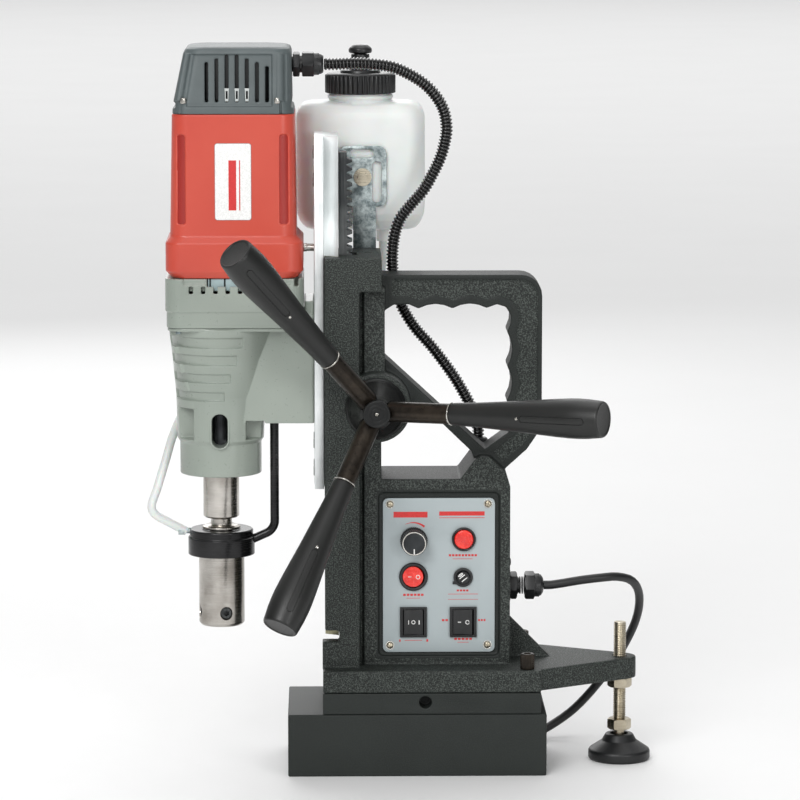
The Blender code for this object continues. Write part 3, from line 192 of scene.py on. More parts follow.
def turned(profile, centre=(0.0, 0.0), axis="Z", soft=0.4, segments=96):
    """A profile of (radius, position) turned about the axis, closed at radius 0 or back on itself."""
    closed = profile[0][0] > 0 and profile[-1][0] > 0
    points = softened(profile, soft, closed) if soft else profile
    bm = bmesh.new()
    circle = [2 * math.pi * (k + 0.5) / segments for k in range(segments)]
    rings = []
    for radius, w in points:
        if radius <= 1e-9:
            rings.append([bm.verts.new(place(*centre, w, axis))] * segments)
            continue
        at = [place(centre[0] + radius * math.cos(a), centre[1] + radius * math.sin(a), w, axis)
              for a in circle]
        rings.append([bm.verts.new(p) for p in at])
    for first, second in list(zip(rings, rings[1:])) + ([(rings[-1], rings[0])] if closed else []):
        for k in range(segments):
            j = (k + 1) % segments
            corners = dict.fromkeys((first[k], first[j], second[j], second[k]))
            if len(corners) > 2:
                bm.faces.new(corners)
    bmesh.ops.recalc_face_normals(bm, faces=bm.faces)
    return bm


def rod(radius, low, high, centre=(0.0, 0.0), axis="Z", soft=0.0, segments=48):
    return turned([(0, low), (radius, low), (radius, high), (0, high)], centre, axis, soft, segments)


def fluted(outer, inner, count, low, high, centre, axis, soft=0.25):
    """A knurled or ribbed drum: an outline with count round flutes, extruded."""
    outline = []
    for i in range(count * 4):
        a = 2 * math.pi * i / (count * 4)
        r = outer if i % 4 in (0, 1) else inner
        outline.append((centre[0] + r * math.cos(a), centre[1] + r * math.sin(a)))
    return prism(outline, low, high, axis, soft, 1)


def hex_outline(across_flats, centre, turn=0.0):
    radius = across_flats / math.sqrt(3)
    turns = [math.pi * k / 3 + turn for k in range(6)]
    return [(centre[0] + radius * math.cos(a), centre[1] + radius * math.sin(a)) for a in turns]


def hex_nut(across_flats, low, high, centre, axis, chamfer=0.9, turn=0.0):
    """A hexagon with its corners turned off at both ends."""
    body = prism(hex_outline(across_flats, centre, turn), low, high, axis)
    half, corner = across_flats / 2, across_flats / math.sqrt(3)
    barrel = turned(
        [(0, low), (half, low), (corner + 0.02, low + chamfer), (corner + 0.02, high - chamfer),
         (half, high), (0, high)], centre, axis, 0.0, 48,
    )
    return rounded(combined(body, barrel, "INTERSECT"), 0.2, 2, 25)


def moved(bm, matrix):
    bmesh.ops.transform(bm, matrix=matrix, verts=bm.verts)
    return bm


def turn_about(point, degrees, axis):
    shift = Matrix.Translation(point)
    return shift @ Matrix.Rotation(math.radians(degrees), 4, axis) @ shift.inverted()


def spare_object(bm):
    mesh = bpy.data.meshes.new("spare")
    bm.to_mesh(mesh)
    bm.free()
    return shown("spare", mesh)


def settled(obj, *others):
    """The object's evaluated mesh as a bmesh; the objects are removed."""
    graph = bpy.context.evaluated_depsgraph_get()
    result = bpy.data.meshes.new_from_object(obj.evaluated_get(graph))
    bm = bmesh.new()
    bm.from_mesh(result)
    bpy.data.meshes.remove(result)
    for o in (obj, *others):
        mesh = o.data
        bpy.data.objects.remove(o)
        bpy.data.meshes.remove(mesh)
    return bm


def combined(base, tool, operation):
    first, second = spare_object(base), spare_object(tool)
    modifier = first.modifiers.new("boolean", "BOOLEAN")
    modifier.operation, modifier.solver, modifier.object = operation, "EXACT", second
    return settled(first, second)


def joined(base, *tools):
    for tool in tools:
        base = combined(base, tool, "UNION")
    return base


def cut(base, *tools):
    for tool in tools:
        base = combined(base, tool, "DIFFERENCE")
    return base


def gathered(*parts):
    """Several meshes as one, without joining their surfaces."""
    whole = bmesh.new()
    for part in parts:
        mesh = bpy.data.meshes.new("part")
        part.to_mesh(mesh)
        part.free()
        whole.from_mesh(mesh)
        bpy.data.meshes.remove(mesh)
    return whole


def from_cad(node):
    """A CAD node's mesh in millimetres, with its doubled points merged and its flats made whole."""
    bm = bmesh.new()
    bm.from_mesh(NODES[node].data)
    bmesh.ops.scale(bm, verts=bm.verts, vec=(1000, 1000, 1000))
    bmesh.ops.remove_doubles(bm, verts=bm.verts, dist=0.003)
    bmesh.ops.dissolve_limit(bm, angle_limit=math.radians(0.6), verts=bm.verts, edges=bm.edges)
    return bm


def as_cast(bm, voxel, passes, keep):
    """The skin of a casting or moulding: one surface with every edge rounded."""
    obj = spare_object(bm)
    remesh = obj.modifiers.new("voxels", "REMESH")
    remesh.mode, remesh.voxel_size = "VOXEL", voxel
    smooth = obj.modifiers.new("smooth", "SMOOTH")
    smooth.factor, smooth.iterations = 0.5, passes
    fewer = obj.modifiers.new("fewer", "DECIMATE")
    fewer.ratio = keep
    return settled(obj)


def smooth_route(route, spacing):
    """Points about a spacing apart on a Catmull-Rom curve through the route."""
    points = [Vector(p) for p in route]
    padded = [2 * points[0] - points[1], *points, 2 * points[-1] - points[-2]]
    fine = [points[0]]
    for a, b, c, d in zip(padded, padded[1:], padded[2:], padded[3:]):
        steps = max(1, round((c - b).length / spacing))
        for i in range(1, steps + 1):
            t = i / steps
            square, cube = 2 * a - 5 * b + 4 * c - d, 3 * b - a - 3 * c + d
            fine.append((2 * b + (c - a) * t + square * t**2 + cube * t**3) / 2)
    return fine


def evenly(points, step):
    """The polyline again, with points exactly a step apart and its last point kept."""
    out, left = [points[0].copy()], step
    for a, b in zip(points, points[1:]):
        length = (b - a).length
        along = left
        while along <= length:
            out.append(a.lerp(b, along / length))
            along += step
        left = along - length
    out.append(points[-1].copy())
    return out


def swept(points, radius_at, segments):
    """A tube along the points; radius_at(i) gives its radius at each of them."""
    rings, side = [], None
    for i, p in enumerate(points):
        along = (points[min(i + 1, len(points) - 1)] - points[max(i - 1, 0)]).normalized()
        if side is None:
            side = along.orthogonal().normalized()
        side = (side - along * side.dot(along)).normalized()
        up, r = along.cross(side), radius_at(i)
        turns = [2 * math.pi * k / segments for k in range(segments)]
        rings.append([p + (side * math.cos(a) + up * math.sin(a)) * r for a in turns])
    return skin(rings)


def thread(radius, depth, pitch, low, high, centre, per_turn=8, segments=48):
    """A screw thread with round crests, flat at both ends."""
    rings = []
    count = round((high - low) / pitch * per_turn)
    for i in range(count + 1):
        w = low + (high - low) * i / count
        fade = min(1.0, (w - low) / pitch, (high - w) / pitch)
        ring = []
        for k in range(segments):
            a = 2 * math.pi * k / segments
            wave = 0.5 - 0.5 * math.cos(2 * math.pi * (w / pitch - k / segments))
            r = radius - depth * (1 - (1 - wave) * fade)
            ring.append((centre[0] + r * math.cos(a), centre[1] + r * math.sin(a), w))
        rings.append(ring)
    return skin(rings)


# ---------------------------------------------------------------- materials


def srgb(red, green, blue):
    def linear(value):
        value /= 255
        return value / 12.92 if value <= 0.04045 else ((value + 0.055) / 1.055) ** 2.4
    return (linear(red), linear(green), linear(blue), 1.0)


class Finish:
    """A Principled material whose colour, roughness and relief come from procedural patterns."""

    def __init__(self, name, **fixed):
        self.material = bpy.data.materials.new(name)
        self.material.use_nodes = True
        self.tree = self.material.node_tree
        self.shader = self.tree.nodes["Principled BSDF"]
        self.place = self.tree.nodes.new("ShaderNodeTexCoord").outputs["Object"]
        for socket, value in fixed.items():
            self.shader.inputs[socket.replace("_", " ")].default_value = value

    def node(self, kind, values=(), **settings):
        made = self.tree.nodes.new(kind)
        for key, value in settings.items():
            setattr(made, key, value)
        for key, value in dict(values).items():
            if isinstance(value, bpy.types.NodeSocket):
                self.tree.links.new(value, made.inputs[key])
            else:
                made.inputs[key].default_value = value
        return made

    def stretched(self, scale):
        return self.node("ShaderNodeMapping", {"Vector": self.place, "Scale": scale}).outputs[0]

    def noise(self, per_metre, detail=2.0, rough=0.5, stretch=None):
        where = self.stretched(stretch) if stretch else self.place
        values = {"Vector": where, "Scale": per_metre, "Detail": detail, "Roughness": rough}
        return self.node("ShaderNodeTexNoise", values).outputs[0]

    def cells(self, per_metre, feature="F1"):
        return self.node(
            "ShaderNodeTexVoronoi", {"Vector": self.place, "Scale": per_metre}, feature=feature,
        ).outputs[0]

    def ranged(self, value, low, high, to_low=0.0, to_high=1.0):
        values = {0: value, 1: low, 2: high, 3: to_low, 4: to_high}
        return self.node("ShaderNodeMapRange", values, clamp=True).outputs[0]

    def maths(self, operation, first, second=0.0):
        return self.node("ShaderNodeMath", {0: first, 1: second}, operation=operation).outputs[0]

    def mixed(self, share, first, second):
        return self.node("ShaderNodeMix", {0: share, 6: first, 7: second}, data_type="RGBA").outputs[2]

    def colour(self, socket):
        self.tree.links.new(socket, self.shader.inputs["Base Color"])

    def roughness(self, socket):
        self.tree.links.new(socket, self.shader.inputs["Roughness"])

    def relief(self, height, depth_mm, strength=1.0):
        values = {"Height": height, "Distance": depth_mm * MM, "Strength": strength}
        self.tree.links.new(self.node("ShaderNodeBump", values).outputs[0], self.shader.inputs["Normal"])


def wrinkle_paint(name, base, light, grain, depth, rough=0.5):
    """Powder coat with a wrinkled skin; the light colour is painted highlight, mixed in as dots where the
    wrinkles rise.
    """
    f = Finish(name, Specular_IOR_Level=0.3)
    bumps = f.noise(grain, 3.0, 0.62)
    highlight_spots = f.ranged(f.cells(grain * 1.15), 0.36, 0.08)
    # painted highlight: spots of the light colour on the tops of the wrinkles
    crest_highlights = f.maths("MULTIPLY", f.ranged(bumps, 0.46, 0.66), f.ranged(highlight_spots, 0.0, 1.0, 0.35, 1.0))
    clouds = f.ranged(f.noise(28, 2), 0.3, 0.7)
    f.colour(f.mixed(crest_highlights, f.mixed(clouds, srgb(*base), srgb(*(c * 1.12 for c in base))), srgb(*light)))
    f.roughness(f.ranged(bumps, 0.3, 0.7, rough + 0.14, rough - 0.08))
    f.relief(bumps, depth, 0.85)
    return f.material


def gloss_paint(name, base, shade, rough, grain=700, depth=0.012, coat=0.0):
    """Sprayed enamel or moulded shell with faint orange peel."""
    f = Finish(name, Coat_Weight=coat, Coat_Roughness=0.25)
    clouds = f.ranged(f.noise(14, 3), 0.3, 0.7)
    peel = f.noise(grain, 2)
    f.colour(f.mixed(clouds, srgb(*base), srgb(*shade)))
    f.roughness(f.ranged(peel, 0.3, 0.7, rough - 0.05, rough + 0.06))
    f.relief(peel, depth)
    return f.material


def metal(name, base, shade, rough, stretch, grain=240, depth=0.004, weight=1.0):
    """Machined metal: fine tool lines that run across the stretched axis."""
    f = Finish(name, Metallic=weight)
    lines = f.noise(grain, 4, 0.6, stretch)
    patches = f.ranged(f.noise(35, 3), 0.3, 0.7)
    tone = f.maths("ADD", f.maths("MULTIPLY", lines, 0.6), f.maths("MULTIPLY", patches, 0.4))
    f.colour(f.mixed(f.ranged(tone, 0.35, 0.65), srgb(*shade), srgb(*base)))
    f.roughness(f.ranged(lines, 0.3, 0.7, rough - 0.06, rough + 0.08))
    f.relief(lines, depth)
    return f.material


def moulded(name, base, rough, grain=1500, depth=0.02, sheen=0.0, lift=1.18):
    """Moulded plastic or rubber with a fine spark-eroded texture."""
    f = Finish(name, Sheen_Weight=sheen)
    fine, clouds = f.noise(grain, 2), f.ranged(f.noise(40, 3), 0.3, 0.7)
    f.colour(f.mixed(clouds, srgb(*base), srgb(*(min(255, c * lift) for c in base))))
    f.roughness(f.ranged(fine, 0.3, 0.7, rough - 0.06, rough + 0.08))
    f.relief(fine, depth)
    return f.material


def galvanised(name):
    f = Finish(name, Metallic=1.0)
    spangle = f.noise(130, 4, 0.7)
    f.colour(f.mixed(f.ranged(spangle, 0.38, 0.62), srgb(112, 124, 126), srgb(196, 206, 206)))
    f.roughness(f.ranged(f.noise(300, 2), 0.3, 0.7, 0.28, 0.5))
    f.relief(spangle, 0.02)
    return f.material


def bottle_plastic(name):
    """Milky blow-moulded plastic."""
    f = Finish(name, Subsurface_Weight=0.2, Subsurface_Scale=0.004, IOR=1.45)
    clouds = f.ranged(f.noise(22, 3), 0.3, 0.7)
    f.colour(f.mixed(clouds, srgb(222, 226, 224), srgb(232, 235, 233)))
    f.roughness(f.ranged(f.noise(500, 2), 0.3, 0.7, 0.3, 0.42))
    f.relief(f.noise(160, 3), 0.03)
    return f.material


def clear_hose(name):
    f = Finish(name, Subsurface_Weight=0.3, Subsurface_Scale=0.003, IOR=1.42)
    f.colour(f.mixed(f.ranged(f.noise(20, 2), 0.3, 0.7), srgb(206, 211, 209), srgb(220, 224, 222)))
    f.roughness(f.ranged(f.noise(300, 2), 0.3, 0.7, 0.2, 0.3))
    f.relief(f.noise(400, 2), 0.006)
    return f.material


def red_plastic(name):
    f = Finish(name, Subsurface_Weight=0.25, Subsurface_Scale=0.002, Coat_Weight=0.5, Coat_Roughness=0.12)
    f.colour(f.mixed(f.ranged(f.noise(200, 2), 0.35, 0.65), srgb(214, 30, 22), srgb(238, 56, 42)))
    f.roughness(f.ranged(f.noise(600, 2), 0.3, 0.7, 0.2, 0.32))
    f.relief(f.noise(500, 2), 0.006)
    return f.material


def lacquer(name, base):
    """Printed ink or a printed label."""
    f = Finish(name)
    f.colour(f.mixed(f.ranged(f.noise(900, 2), 0.35, 0.65), srgb(*base), srgb(*(c * 0.93 for c in base))))
    f.roughness(f.ranged(f.noise(700, 2), 0.3, 0.7, 0.38, 0.5))
    f.relief(f.noise(1200, 2), 0.004)
    return f.material


RINGS_Z, RINGS_Y, LINES_Z = (0.02, 0.02, 12.0), (0.02, 12.0, 0.02), (9.0, 9.0, 0.1)
MATERIALS = {
    # Each wrinkle paint's second colour is its painted highlight.
    "black_paint": wrinkle_paint("black_paint", (24, 28, 26), (118, 126, 120), 1050, 0.32),
    "smooth_paint": wrinkle_paint("smooth_paint", (28, 32, 30), (50, 54, 52), 1050, 0.12),
    "magnet_paint": wrinkle_paint("magnet_paint", (31, 35, 33), (48, 52, 50), 1200, 0.1, 0.5),
    "resin": moulded("resin", (38, 37, 36), 0.42),
    "brass": metal("brass", (188, 184, 158), (132, 128, 104), 0.36, LINES_Z),
    "bronze": metal("bronze", (176, 132, 84), (140, 100, 60), 0.4, RINGS_Y),
    "panel": gloss_paint("panel", (160, 170, 172), (168, 177, 179), 0.4, 1600, 0.008),
    "black_plastic": moulded("black_plastic", (22, 23, 24), 0.34, 1200, 0.012),
    "red_plastic": red_plastic("red_plastic"),
    "board": gloss_paint("board", (30, 92, 52), (40, 108, 62), 0.45, 300, 0.02),
    "rubber": moulded("rubber", (16, 17, 18), 0.42, 900, 0.02),
    "grip": moulded("grip", (20, 21, 20), 0.4, 1300, 0.02, 0.0),
    "anodised": metal("anodised", (242, 245, 245), (218, 222, 222), 0.4, LINES_Z, 300),
    "steel": metal("steel", (206, 202, 196), (150, 145, 138), 0.24, RINGS_Z, 320, 0.003),
    "bright_steel": metal("bright_steel", (226, 224, 218), (180, 177, 170), 0.22, RINGS_Y, 300, 0.003),
    "dark_steel": metal("dark_steel", (96, 98, 98), (58, 60, 61), 0.42, LINES_Z, 200, 0.01),
    "black_steel": metal("black_steel", (58, 51, 43), (40, 35, 30), 0.32, (1, 1, 1), 260, 0.012, 0.7),
    "nickel": metal("nickel", (205, 196, 176), (168, 158, 138), 0.28, RINGS_Z, 260, 0.004),
    "zinc": galvanised("zinc"),
    "gearbox_paint": gloss_paint("gearbox_paint", (138, 147, 138), (149, 157, 148), 0.32, 420, 0.02, 0.4),
    "red_paint": gloss_paint("red_paint", (190, 66, 50), (196, 74, 56), 0.36, 620, 0.02, 0.15),
    "cap_plastic": moulded("cap_plastic", (74, 82, 83), 0.46, 1100, 0.05, 0.0, 1.14),
    "bottle": bottle_plastic("bottle"),
    "clear_tube": clear_hose("clear_tube"),
    "windings": metal("windings", (196, 112, 66), (120, 60, 34), 0.38, (1.0, 1.0, 0.05), 500, 0.05),
    "white_ink": lacquer("white_ink", (238, 238, 236)),
    "red_ink": lacquer("red_ink", (206, 44, 44)),
    "grey_ink": lacquer("grey_ink", (150, 156, 158)),
    "conduit": gloss_paint("conduit", (8, 8, 8), (12, 12, 12), 0.26, 900, 0.004, 1.0),
    "spun": metal("spun", (70, 72, 74), (30, 31, 32), 0.3, RINGS_Y, 300, 0.003),
    "baffle": moulded("baffle", (140, 158, 160), 0.4),
    "guard": moulded("guard", (172, 176, 174), 0.4),
    # painted shade: darker red for the housing's recessed strips
    "red_painted_shade": gloss_paint("red_painted_shade", (146, 26, 18), (154, 32, 22), 0.42, 620, 0.02),
    # painted shade for the handle's grooves
    "groove_painted_shade": gloss_paint("groove_painted_shade", (10, 12, 11), (14, 16, 15), 0.6, 620, 0.02),
    "hub_steel": metal("hub_steel", (46, 47, 46), (28, 29, 29), 0.3, RINGS_Y, 300, 0.004, 0.6),
    "ring_steel": metal("ring_steel", (46, 46, 47), (30, 30, 31), 0.24, RINGS_Z, 260, 0.003, 0.6),
}
# The record's material of a finish that has another name, or none for printing and linings
NOT_SLOTS = {
    "smooth_paint": "black_paint", "groove_painted_shade": "black_paint", "red_painted_shade": "red_paint",
    "bright_steel": "steel", "ring_steel": "black_steel", "hub_steel": "black_steel", "conduit": "rubber",
    **dict.fromkeys(("white_ink", "red_ink", "grey_ink", "spun", "baffle", "guard"), ""),
}


def shown(name, data):
    """A new object in the scene."""
    obj = bpy.data.objects.new(name, data)
    bpy.context.scene.collection.objects.link(obj)
    return obj


def piece(name, bm, body, finish, stands_for=(), creases=40):
    """One named object in metres that rides on a CAD body and wears a finish."""
    bmesh.ops.scale(bm, verts=bm.verts, vec=(MM, MM, MM))
    mesh = bpy.data.meshes.new(name)
    bm.to_mesh(mesh)
    bm.free()
    mesh.shade_smooth()
    if creases:
        mesh.set_sharp_from_angle(angle=math.radians(creases))
    obj = shown(name, mesh)
    mesh.materials.append(MATERIALS[finish])
    if body:
        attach(obj, body)
    if stands_for:
        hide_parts(*stands_for)
    return obj


def instead(node, bm, finish, creases=40):
    """A detailed piece that stands for the CAD node of the same name."""
    return piece("look_" + node, bm, BODY_OF[node], finish, (node,), creases)


# ---------------------------------------------------------------- camera, light and floor


def make_camera():
    """The photo's camera: a long lens 3.1 m in front, a little above the motor, looking down 8 degrees."""
    forward = Vector(CAMERA_FORWARD).normalized()
    right = Vector(CAMERA_RIGHT).normalized()
    up = right.cross(forward)
    data = bpy.data.cameras.new("camera")
    data.lens, data.sensor_width = CAMERA_LENS, 36.0
    data.clip_start, data.clip_end = 0.05, 200.0
    camera = shown("camera", data)
    turn = Matrix((right, up, -forward)).transposed().to_4x4()
    camera.matrix_world = Matrix.Translation(CAMERA_PLACE) @ turn
    bpy.context.scene.camera = camera


def make_floor():
    """A pale disc out to the horizon."""
    turns = [2 * math.pi * k / 64 for k in range(64)]
    rings = [[(r * math.cos(a), r * math.sin(a), 0.0) for a in turns] for r in (60.0, 8.0, 1.0)]
    bm = skin(rings, ends=False)
    bm.verts.ensure_lookup_table()
    bm.faces.new(bm.verts[-64:])
    bmesh.ops.recalc_face_normals(bm, faces=bm.faces)
    mesh = bpy.data.meshes.new("floor")
    bm.to_mesh(mesh)
    bm.free()
    if mesh.polygons[0].normal.z < 0:
        mesh.flip_normals()
    f = Finish("floor")
    f.colour(f.mixed(f.noise(3, 2), (0.86, 0.86, 0.86, 1), (0.89, 0.89, 0.89, 1)))
    f.roughness(f.ranged(f.noise(40, 2), 0.3, 0.7, 0.6, 0.7))
    mesh.materials.append(f.material)
    floor = shown("floor", mesh)


def make_world():
    """A white studio that darkens to both sides, which gives metal its dark edges."""
    world = bpy.data.worlds.new("studio")
    world.use_nodes = True
    tree = world.node_tree
    place = tree.nodes.new("ShaderNodeTexCoord")
    parts = tree.nodes.new("ShaderNodeSeparateXYZ")
    side = tree.nodes.new("ShaderNodeMath")
    side.operation = "ABSOLUTE"
    fade = tree.nodes.new("ShaderNodeMapRange")
    for i, value in enumerate((0.3, 0.85, 0.74, 0.16), 1):
        fade.inputs[i].default_value = value
    background = tree.nodes["Background"]
    background.inputs[0].default_value = (1.0, 1.0, 1.0, 1.0)
    tree.links.new(place.outputs["Generated"], parts.inputs[0])
    tree.links.new(parts.outputs[0], side.inputs[0])
    tree.links.new(side.outputs[0], fade.inputs[0])
    tree.links.new(fade.outputs[0], background.inputs[1])
    bpy.context.scene.world = world
    bpy.context.scene.view_settings.view_transform = "Standard"


def make_lights():
    """Square area lights: name, place, target, side and power, in metres and watts."""
    for name, spot, target, size, power in (
        ("key", (-0.9, -2.3, 1.7), (-0.05, 0, 0.3), 1.2, 38),
        ("fill", (1.4, -2.3, 0.8), (0, 0, 0.3), 0.7, 12),
        ("top", (0.1, 0.3, 2.7), (0, 0, 0.3), 1.6, 12),
        ("back", (-0.6, 2.4, 1.4), (0, 0, 0.3), 1.6, 12),
        ("far", (0.0, 11.0, 6.0), (0, 11.0, 0), 14.0, 420),
    ):
        light = bpy.data.lights.new(name, "AREA")
        light.shape, light.size, light.energy = "SQUARE", size, power
        obj = shown(name, light)
        obj.location = spot
        obj.rotation_euler = (Vector(target) - Vector(spot)).to_track_quat("-Z", "Y").to_euler()


# ---------------------------------------------------------------- cord and hoses


def coil_points():
    """Ten turns wound in two layers, outside to inside and back, clockwise seen from above."""
    outer = COIL_MIDDLE + COIL_PITCH * (COIL_TURNS - 1) / 2
    points, steps = [], 60
    for i in range(2 * COIL_TURNS * steps + 1):
        turn, part = divmod(i, steps)
        angle = 360.0 * part / steps
        if turn < COIL_TURNS:
            column = turn + (smooth_step(angle, 318, 358) if turn < COIL_TURNS - 1 else 0)
            climb = smooth_step(angle, 265, 312) if turn == COIL_TURNS - 1 else 0
        else:
            upper = turn - COIL_TURNS
            inward = smooth_step(angle, 215, 258) if upper < COIL_TURNS - 1 else 0
            column = COIL_TURNS - 1 - upper - inward
            climb = 1
        if turn == 2 * COIL_TURNS:
            column = 0
        radius = outer - COIL_PITCH * column
        a = math.radians(angle)
        points.append(Vector((
            COIL_X - radius * math.sin(a), COIL_Y - radius * math.cos(a),
            COIL_LOW + (COIL_HIGH - COIL_LOW) * climb,
        )))
    return points


def smooth_step(value, low, high):
    t = min(1.0, max(0.0, (value - low) / (high - low)))
    return t * t * (3 - 2 * t)


def make_mains_lead():
    outer = COIL_MIDDLE + COIL_PITCH * (COIL_TURNS - 1) / 2
    start_y = COIL_Y - outer
    last_x, last_y, _ = CORD_ROUTE[-1]
    entry = [Vector((x, start_y - (start_y - last_y) * ((x - COIL_X) / (last_x - COIL_X)) ** 2, COIL_LOW))
             for x in (40, 34, 28)]
    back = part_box("mains_plug")[1].x * 1000
    route = smooth_route(CORD_ROUTE + [tuple(p) for p in entry], 6.0)
    tail = [
        Vector((COIL_X - t * (COIL_X - back + 8), start_y,
                COIL_HIGH + (PLUG_Z - COIL_HIGH) * smooth_step(t, 0.1, 0.9)))
        for t in (0.2, 0.4, 0.6, 0.8, 1.0)
    ]
    points = route + coil_points() + tail
    data = bpy.data.curves.new("mains_lead", "CURVE")
    data.dimensions = "3D"
    data.bevel_depth, data.bevel_resolution, data.use_fill_caps = CORD_D / 2 * MM, 5, True
    spline = data.splines.new("POLY")
    spline.points.add(len(points) - 1)
    for slot, point in zip(spline.points, points):
        slot.co = (*(point * MM), 1.0)
    spline.use_smooth = True
    data.materials.append(MATERIALS["rubber"])
    lead = shown("mains_lead", data)
    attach(lead, "frame")
    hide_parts("mains_cord", "mains_cord_coil")
    plug, pins = make_plug(back, start_y)
    make_coil_tie()


def make_plug(back, y):
    """Two-pin plug with a ribbed tail and a finger grip."""
    profile = [(0, back - 0.2), (4.6, back - 0.2)]
    for i in range(5):
        w = back - 1.6 - i * 3.0
        profile += [(4.7 + i * 0.28, w), (5.4 + i * 0.28, w - 0.5), (5.4 + i * 0.28, w - 1.6),
                    (4.7 + i * 0.28, w - 2.1)]
    profile += [(6.2, back - 17), (11.2, back - 22), (12.4, back - 28), (12.4, back - 43.7),
                (0, back - 43.7)]
    body = turned(profile, (y, PLUG_Z), "X", 0.8, 64)
    ribs = [block((back - 40 + 3 * i, back - 38.6 + 3 * i), (y - 12.7, y + 12.7),
                  (PLUG_Z - 7, PLUG_Z + 7), 0.5)
            for i in range(4)]
    plug = piece("look_mains_plug", joined(body, *ribs), "frame", "black_plastic", ("mains_plug",))
    pins = gathered(*(
        turned([(0, back - 40), (2.35, back - 40), (2.35, back - 60.6), (1.4, back - 61.9),
                (0, back - 61.9)],
               (y + side, PLUG_Z), "X", 0.3, 32) for side in (-8.0, 8.0)))
    return plug, piece("plug_pins", pins, "frame", "nickel")


def make_coil_tie():
    """Hook-and-loop tie round the coil's rear side."""
    low, high = COIL_Y + COIL_MIDDLE - 18.2, COIL_Y + COIL_MIDDLE + 18.2
    outline = round_rect(low - 0.6, high + 0.6, 0.1, 15.3, 3.4)
    inner = round_rect(low + 0.5, high - 0.5, 0.35, 14.6, 3.0)
    band = cut(prism(outline, COIL_X - 6, COIL_X + 6, "X"), prism(inner, COIL_X - 9, COIL_X + 9, "X"))
    return piece("coil_tie", band, "frame", "rubber")


def make_hose(name, node, bm, finish):
    """A hose from the fixed frame to the sliding carriage, riding on no body."""
    hose = piece(name, bm, None, finish, (node,))
    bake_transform(hose)


def make_hoses():
    """Corrugated conduit with tight round ribs, and a plain clear tube for the coolant."""
    rib, per_rib = 2.8, 8
    line = evenly(smooth_route(CONDUIT_ROUTE, 1.0), rib / per_rib)
    wave = [0.5 - 0.5 * math.cos(2 * math.pi * i / per_rib) for i in range(per_rib)]
    conduit = swept(line, lambda i: 3.6 + 1.4 * wave[i % per_rib] ** 0.6, 20)
    path = evenly(line, 4.0)
    make_hose("look_conduit", "conduit", conduit, "conduit")
    line = evenly(smooth_route(COOLANT_ROUTE, 2.0), 3.0)
    make_hose("look_coolant_tube", "coolant_tube", swept(line, lambda i: 3.4, 32), "clear_tube")


# ---------------------------------------------------------------- base and casting


def make_base():
    for node in ("base_bolt_front", "base_bolt_rear"):
        low, high = (c * 1000 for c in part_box(node))
        centre, top = ((low.x + high.x) / 2, (low.y + high.y) / 2), high.z
        head = fluted(5.7, 5.35, 30, top - 12.2, top - 0.6, centre, "Z")
        rim = turned([(0, top - 1.2), (5.1, top - 1.2), (5.1, top), (0, top)], centre, "Z", 0.5, 48)
        shank = rod(3.95, top - 26, top - 11.8, centre)
        socket = prism(hex_outline(6.0, centre), top - 5, top + 2, "Z")
        instead(node, cut(joined(head, rim, shank), socket), "black_steel")


HANDLE_FIELD = [
    (-19.4, 392.4), (-19.4, 379.3), (-8, 379.4), (1.4, 375.8), (14.5, 380), (28.4, 375.9),
    (42, 380), (55.4, 376.4), (66, 379.6), (76, 375), (81.2, 366), (80.6, 356), (78.3, 350.2),
    (82.2, 337), (78.4, 323.3), (82.0, 309), (78.0, 295.8), (82, 284), (80, 270), (61, 254.5),
    (68, 246.5), (84, 260), (91.6, 270.5), (95.6, 291), *arc(82.2, 378.7, 13.6, 0, 90, 5),
]


def inside(x, z, outline):
    found = False
    for (x0, z0), (x1, z1) in zip(outline, outline[1:] + outline[:1]):
        if (z0 > z) != (z1 > z) and x < (x1 - x0) * (z - z0) / (z1 - z0) + x0:
            found = not found
    return found


def smooth_area(centre, normal):
    """Whether the casting is smooth there: the handle's rims, the window's edges and the panel seat."""
    x, y, z = centre
    if x > -27.0 and z > 237.0 and abs(y) < 19.0:
        return not (inside(x, z, HANDLE_FIELD) and abs(normal.y) > 0.7)
    if -32 < x < 67 and 90 < z < 226 and -29 < y < -22:
        return True
    return abs(normal.y) < 0.5 and x > -28 and 86 < z < 300


def make_casting():
    centre = (HUB_X, HUB_Z)
    bosses = [cut(rod(27.5, low, high, centre, "Y", 1.5, 96), rod(15, -60, 60, centre, "Y"))
              for low, high in ((-44, -24), (24, 44))]
    rim = turned([(27.5, -43.0), (24.6, -44.2), (22.8, -43.0)], centre, "Y", 0.3)
    bump = rod(3.2, 72, 75.6, (-12.0, 165.0), "X", 0.8, 32)
    body = as_cast(gathered(from_cad("frame_casting"), *bosses, rim, bump), 0.85, 5, 0.22)
    obj = instead("frame_casting", body, "black_paint", 0)
    obj.data.materials.append(MATERIALS["smooth_paint"])
    for face in obj.data.polygons:
        face.material_index = int(smooth_area(face.center * 1000, face.normal))
    # Dark tubes along the handle field's outline are painted shade in its grooves.
    line = HANDLE_FIELD + HANDLE_FIELD[:1]
    grooves = []
    for side in (-1, 1):
        route = evenly([Vector((x, side * 15.4, z)) for x, z in line], 1.5)
        grooves.append(swept(route, lambda i: 0.75, 8))
    piece("handle_groove_shade", gathered(*grooves), "frame", "groove_painted_shade")
    spots = [(x, z) for x in (-33.5, 66.0) for z in (93.5, 226.0)]
    rear = gathered(*(pan_screw(x, z, 41.8, 1) for x, z in spots))
    piece("rear_cover_screws", rear, "frame", "zinc")


